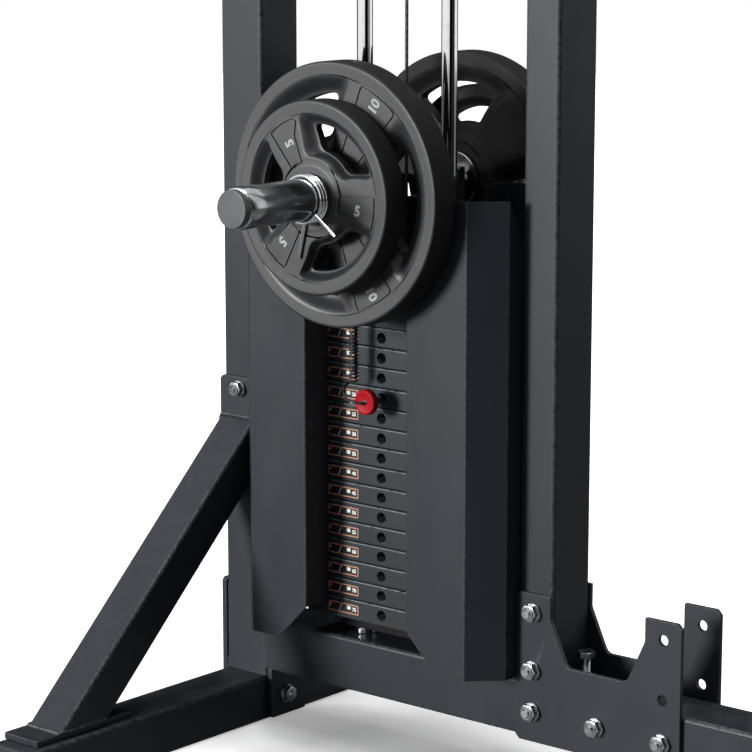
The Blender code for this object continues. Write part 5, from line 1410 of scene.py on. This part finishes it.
bent = np.linspace(BEND_START, BEND_END, 33)
bar_y = np.concatenate([-bent[::-1], np.linspace(-BEND_START, BEND_START, 17)[1:-1], bent])
bar_share = np.clip((np.abs(bar_y) - BEND_START) / (BEND_END - BEND_START), 0, 1)
bar_z = BAR_Z - BAR_DROP * bar_share**DROP_POWER
bar_path = np.stack([np.full(len(bar_y), BAR_X), bar_y, bar_z], axis=-1)
ends = 1 - 0.12 * (np.abs(bar_y) > 0.5985)
bar = make_mesh("bar", carried(bar_path, circle(BAR_RADIUS, 40), scale=ends))
bar_low, bar_high = span("lat_bar")
stud = [(0.0, 1.884), (0.006, 1.884), (0.006, 1.9183), (0.0095, 1.9183), (0.0095, 1.9237)]
stud += [(0.0089, bar_high[2]), (0.0, bar_high[2])]
bar = combine(bar, [turned(stud, (BAR_X, 0, 0), steps=40)], "UNION")
add_piece("polished_pull_bar", bar, CHROME, "pull_bar", "lat_bar", flat=False)
print(f"bar from y = {bar_low[1]:.3f} to {bar_high[1]:.3f}")

# %% [markdown]
# ## Folded sheet guards
# Four guards, each folded from one 2 mm sheet: a return towards the stack, a broad face, a chamfered fold
# and a side that slips behind the upright. P(u, v) runs the plan's line, with an arc at each fold, and
# rises between a foot and a top that depend on the plan: the foot is notched at 45 degrees and the side's
# top slopes down.

# %% Guards
SHEET, BEND = 0.002, 0.0030
GUARD_LOW, GUARD_TOP, SLOPE_DROP = 0.1435, 0.724, 0.052
RETURN_X, SIDE_X, FACE_Y, NOTCH_END, SLOPE_START, SLOPE_END = 0.0808, 0.2087, 0.0992, 0.1278, 0.0632, 0.0370

plan = [(RETURN_X, -0.0556), (RETURN_X, -FACE_Y), (NOTCH_END, -FACE_Y), (0.1727, -FACE_Y)]
plan += [(SIDE_X, -SLOPE_START), (SIDE_X, -SLOPE_END), (SIDE_X, -0.0120)]
outer = rounded(plan, [0, BEND, 0, BEND, BEND, 0, 0], 5)
inner = inset(outer, SHEET, closed=False)
foot = GUARD_LOW + np.clip(NOTCH_END - outer[:, 0], 0, None)
slope = np.clip((SLOPE_START + outer[:, 1]) / (SLOPE_START - SLOPE_END), 0, 1)
top = GUARD_TOP - np.where(outer[:, 0] > 0.2080, slope * SLOPE_DROP, 0.0)
sheet_edges = ((outer, foot), (outer, top), (inner, top), (inner, foot))
rings = np.array([np.column_stack(edge) for edge in sheet_edges])
for side_x, end in ((1, "front"), (-1, "rear")):
    for side_y, label in ((1, "near"), (-1, "far")):
        rows = rings * [side_x, side_y, 1]
        guard = [grid(rows, wrap_rows=True), flat_cap(rows[:, 0]), flat_cap(rows[:, -1])]
        add_piece(f"guard_{label}_{end}", guard, SHROUD_PAINT, "tower", f"shroud_{label}_{end}")
print("guard from z =", GUARD_LOW, "to", GUARD_TOP)

# %% [markdown]
# ## Floor, dark curtains and light
# The machine stands on a pale floor before white. A broad soft lamp at the left lights what faces it, and
# one straight above lifts the tops. Two dark curtains, seen by reflections only, keep the faces that turn
# to the right nearly black, as a photographer's flags do, and put crisp dark edges into the chrome.

# %% Floor
# Floor glow near the machine's axis and away from it: the low end paints a shadow under the machine.
FLOOR_GLOW_WITH_PAINTED_SHADOW = (0.10, 0.88)


def floor_material():
    """Pale floor: near white with the object's shadow for the camera, and grey for bounced light.

    The camera's glow grows with the distance from the machine's long axis, so the contact shadows stay
    and the low glow near the axis paints a shadow band under the machine. Reflections see the floor pale
    near the machine and grey further off.
    """
    material, tree, shader = new_material("pale floor", {"Specular IOR Level": 0.0})
    path = node(tree, "ShaderNodeLightPath").outputs
    where = node(tree, "ShaderNodeTexCoord").outputs["Object"]
    cloud = remap(tree, noise(tree, 0.8, 2.0), 0.3, 0.7, 0.97, 1.0)
    seen = node(tree, "ShaderNodeCombineColor", {0: cloud, 1: cloud, 2: cloud}).outputs[0]
    away = node(tree, "ShaderNodeVectorMath", {0: where}, operation="LENGTH").outputs["Value"]
    shown = maths(tree, "MULTIPLY", path["Is Glossy Ray"], remap(tree, away, 0.5, 1.4, 0.40, 0.08))
    shown = maths(tree, "MAXIMUM", path["Is Camera Ray"], shown)
    tree.links.new(mix_colours(tree, shown, (0.13, 0.13, 0.13, 1.0), seen), shader.inputs["Base Color"])
    tree.links.new(remap(tree, noise(tree, 6.0, 3.0), 0.3, 0.7, 0.85, 0.95), shader.inputs["Roughness"])
    narrowed = {0: where, 1: (0.25, 1.0, 0.0)}
    across = node(tree, "ShaderNodeVectorMath", narrowed, operation="MULTIPLY").outputs[0]
    from_line = node(tree, "ShaderNodeVectorMath", {0: across}, operation="LENGTH").outputs["Value"]
    glow_with_painted_shadow = remap(tree, from_line, 0.05, 0.30, *FLOOR_GLOW_WITH_PAINTED_SHADOW)
    glow = node(tree, "ShaderNodeEmission", {"Color": (1, 1, 1, 1), "Strength": glow_with_painted_shadow}).outputs[0]
    both = node(tree, "ShaderNodeAddShader", {0: shader.outputs[0], 1: glow}).outputs[0]
    mixed = node(tree, "ShaderNodeMixShader", {0: path["Is Camera Ray"], 1: shader.outputs[0], 2: both})
    tree.links.new(mixed.outputs[0], tree.nodes["Material Output"].inputs["Surface"])
    return material


radius = np.concatenate([[0.001], np.geomspace(0.3, 12.0, 24)])
floor_points = lay(radius[:, None, None] * directions(full_turn(96)), "XY", -0.0006)
floor_parts = [grid(floor_points, wrap_columns=True), flat_cap(floor_points[0])]
floor = new_object("floor", make_mesh("floor", floor_parts))
floor.data.materials.append(floor_material())
floor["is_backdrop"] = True
print("floor at z = 0, radius", radius[-1], "m")


# %% Curtains
def curtain(name, radius, first, last, high):
    """A curved dark wall about the machine between two azimuths in degrees, seen by reflections only."""
    line = radius * directions(np.radians(np.linspace(first, last, 64)))
    points = np.array([lay(line, "XY", height) for height in np.linspace(0.0, high, 8)])
    wall = new_object(name, make_mesh(name, [grid(points)]))
    wall.visible_camera = wall.visible_diffuse = wall.visible_shadow = wall.visible_transmission = False
    wall.visible_volume_scatter = False
    dark = {"Base Color": (0.004, 0.004, 0.004, 1.0), "Roughness": 1.0, "Specular IOR Level": 0.0}
    wall.data.materials.append(new_material(name, dark)[0])
    wall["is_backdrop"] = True
    return wall


curtain("side_curtain", 5.0, -54.0, 24.0, 9.0)
curtain("back_curtain", 5.0, 80.0, 170.0, 6.0)


# %% Lamps and world
def sun(name, towards, strength, spread):
    """A distant lamp. towards points from the object to the lamp, and spread is its angle across."""
    lamp = bpy.data.lights.new(name, "SUN")
    lamp.energy = strength
    lamp.angle = math.radians(spread)
    new_object(name, lamp).rotation_euler = Vector(towards).to_track_quat("Z", "Y").to_euler()


sun("key", (-0.415, -0.895, 0.155), 3.45, 16.0)
sun("top", (0.0, 0.0, 1.0), 1.7, 24.0)

world = bpy.data.worlds.new("white room")
world.use_nodes = True
bpy.context.scene.world = world
tree = world.node_tree
tree.nodes.clear()
path = node(tree, "ShaderNodeLightPath").outputs
clean = maths(tree, "MAXIMUM", path["Is Camera Ray"], path["Is Glossy Ray"], path["Is Transmission Ray"])
ambient = node(tree, "ShaderNodeBackground", {"Color": (0.95, 0.97, 1.0, 1.0), "Strength": 0.17}).outputs[0]
white = node(tree, "ShaderNodeBackground", {"Color": (1.0, 1.0, 1.0, 1.0), "Strength": 1.0}).outputs[0]
both = node(tree, "ShaderNodeMixShader", {0: clean, 1: ambient, 2: white}).outputs[0]
node(tree, "ShaderNodeOutputWorld", {"Surface": both})
print("lamps:", [lamp.name for lamp in bpy.data.lights])

# %% [markdown]
# The visual model has to fill the CAD model's box and no more. Both boxes are printed.

# %% Sizes
visual_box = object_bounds()
boxes = {"cad": cad_box, "visual": visual_box}
boxes = {name: [[float(v) for v in corner] for corner in box] for name, box in boxes.items()}
print(boxes)
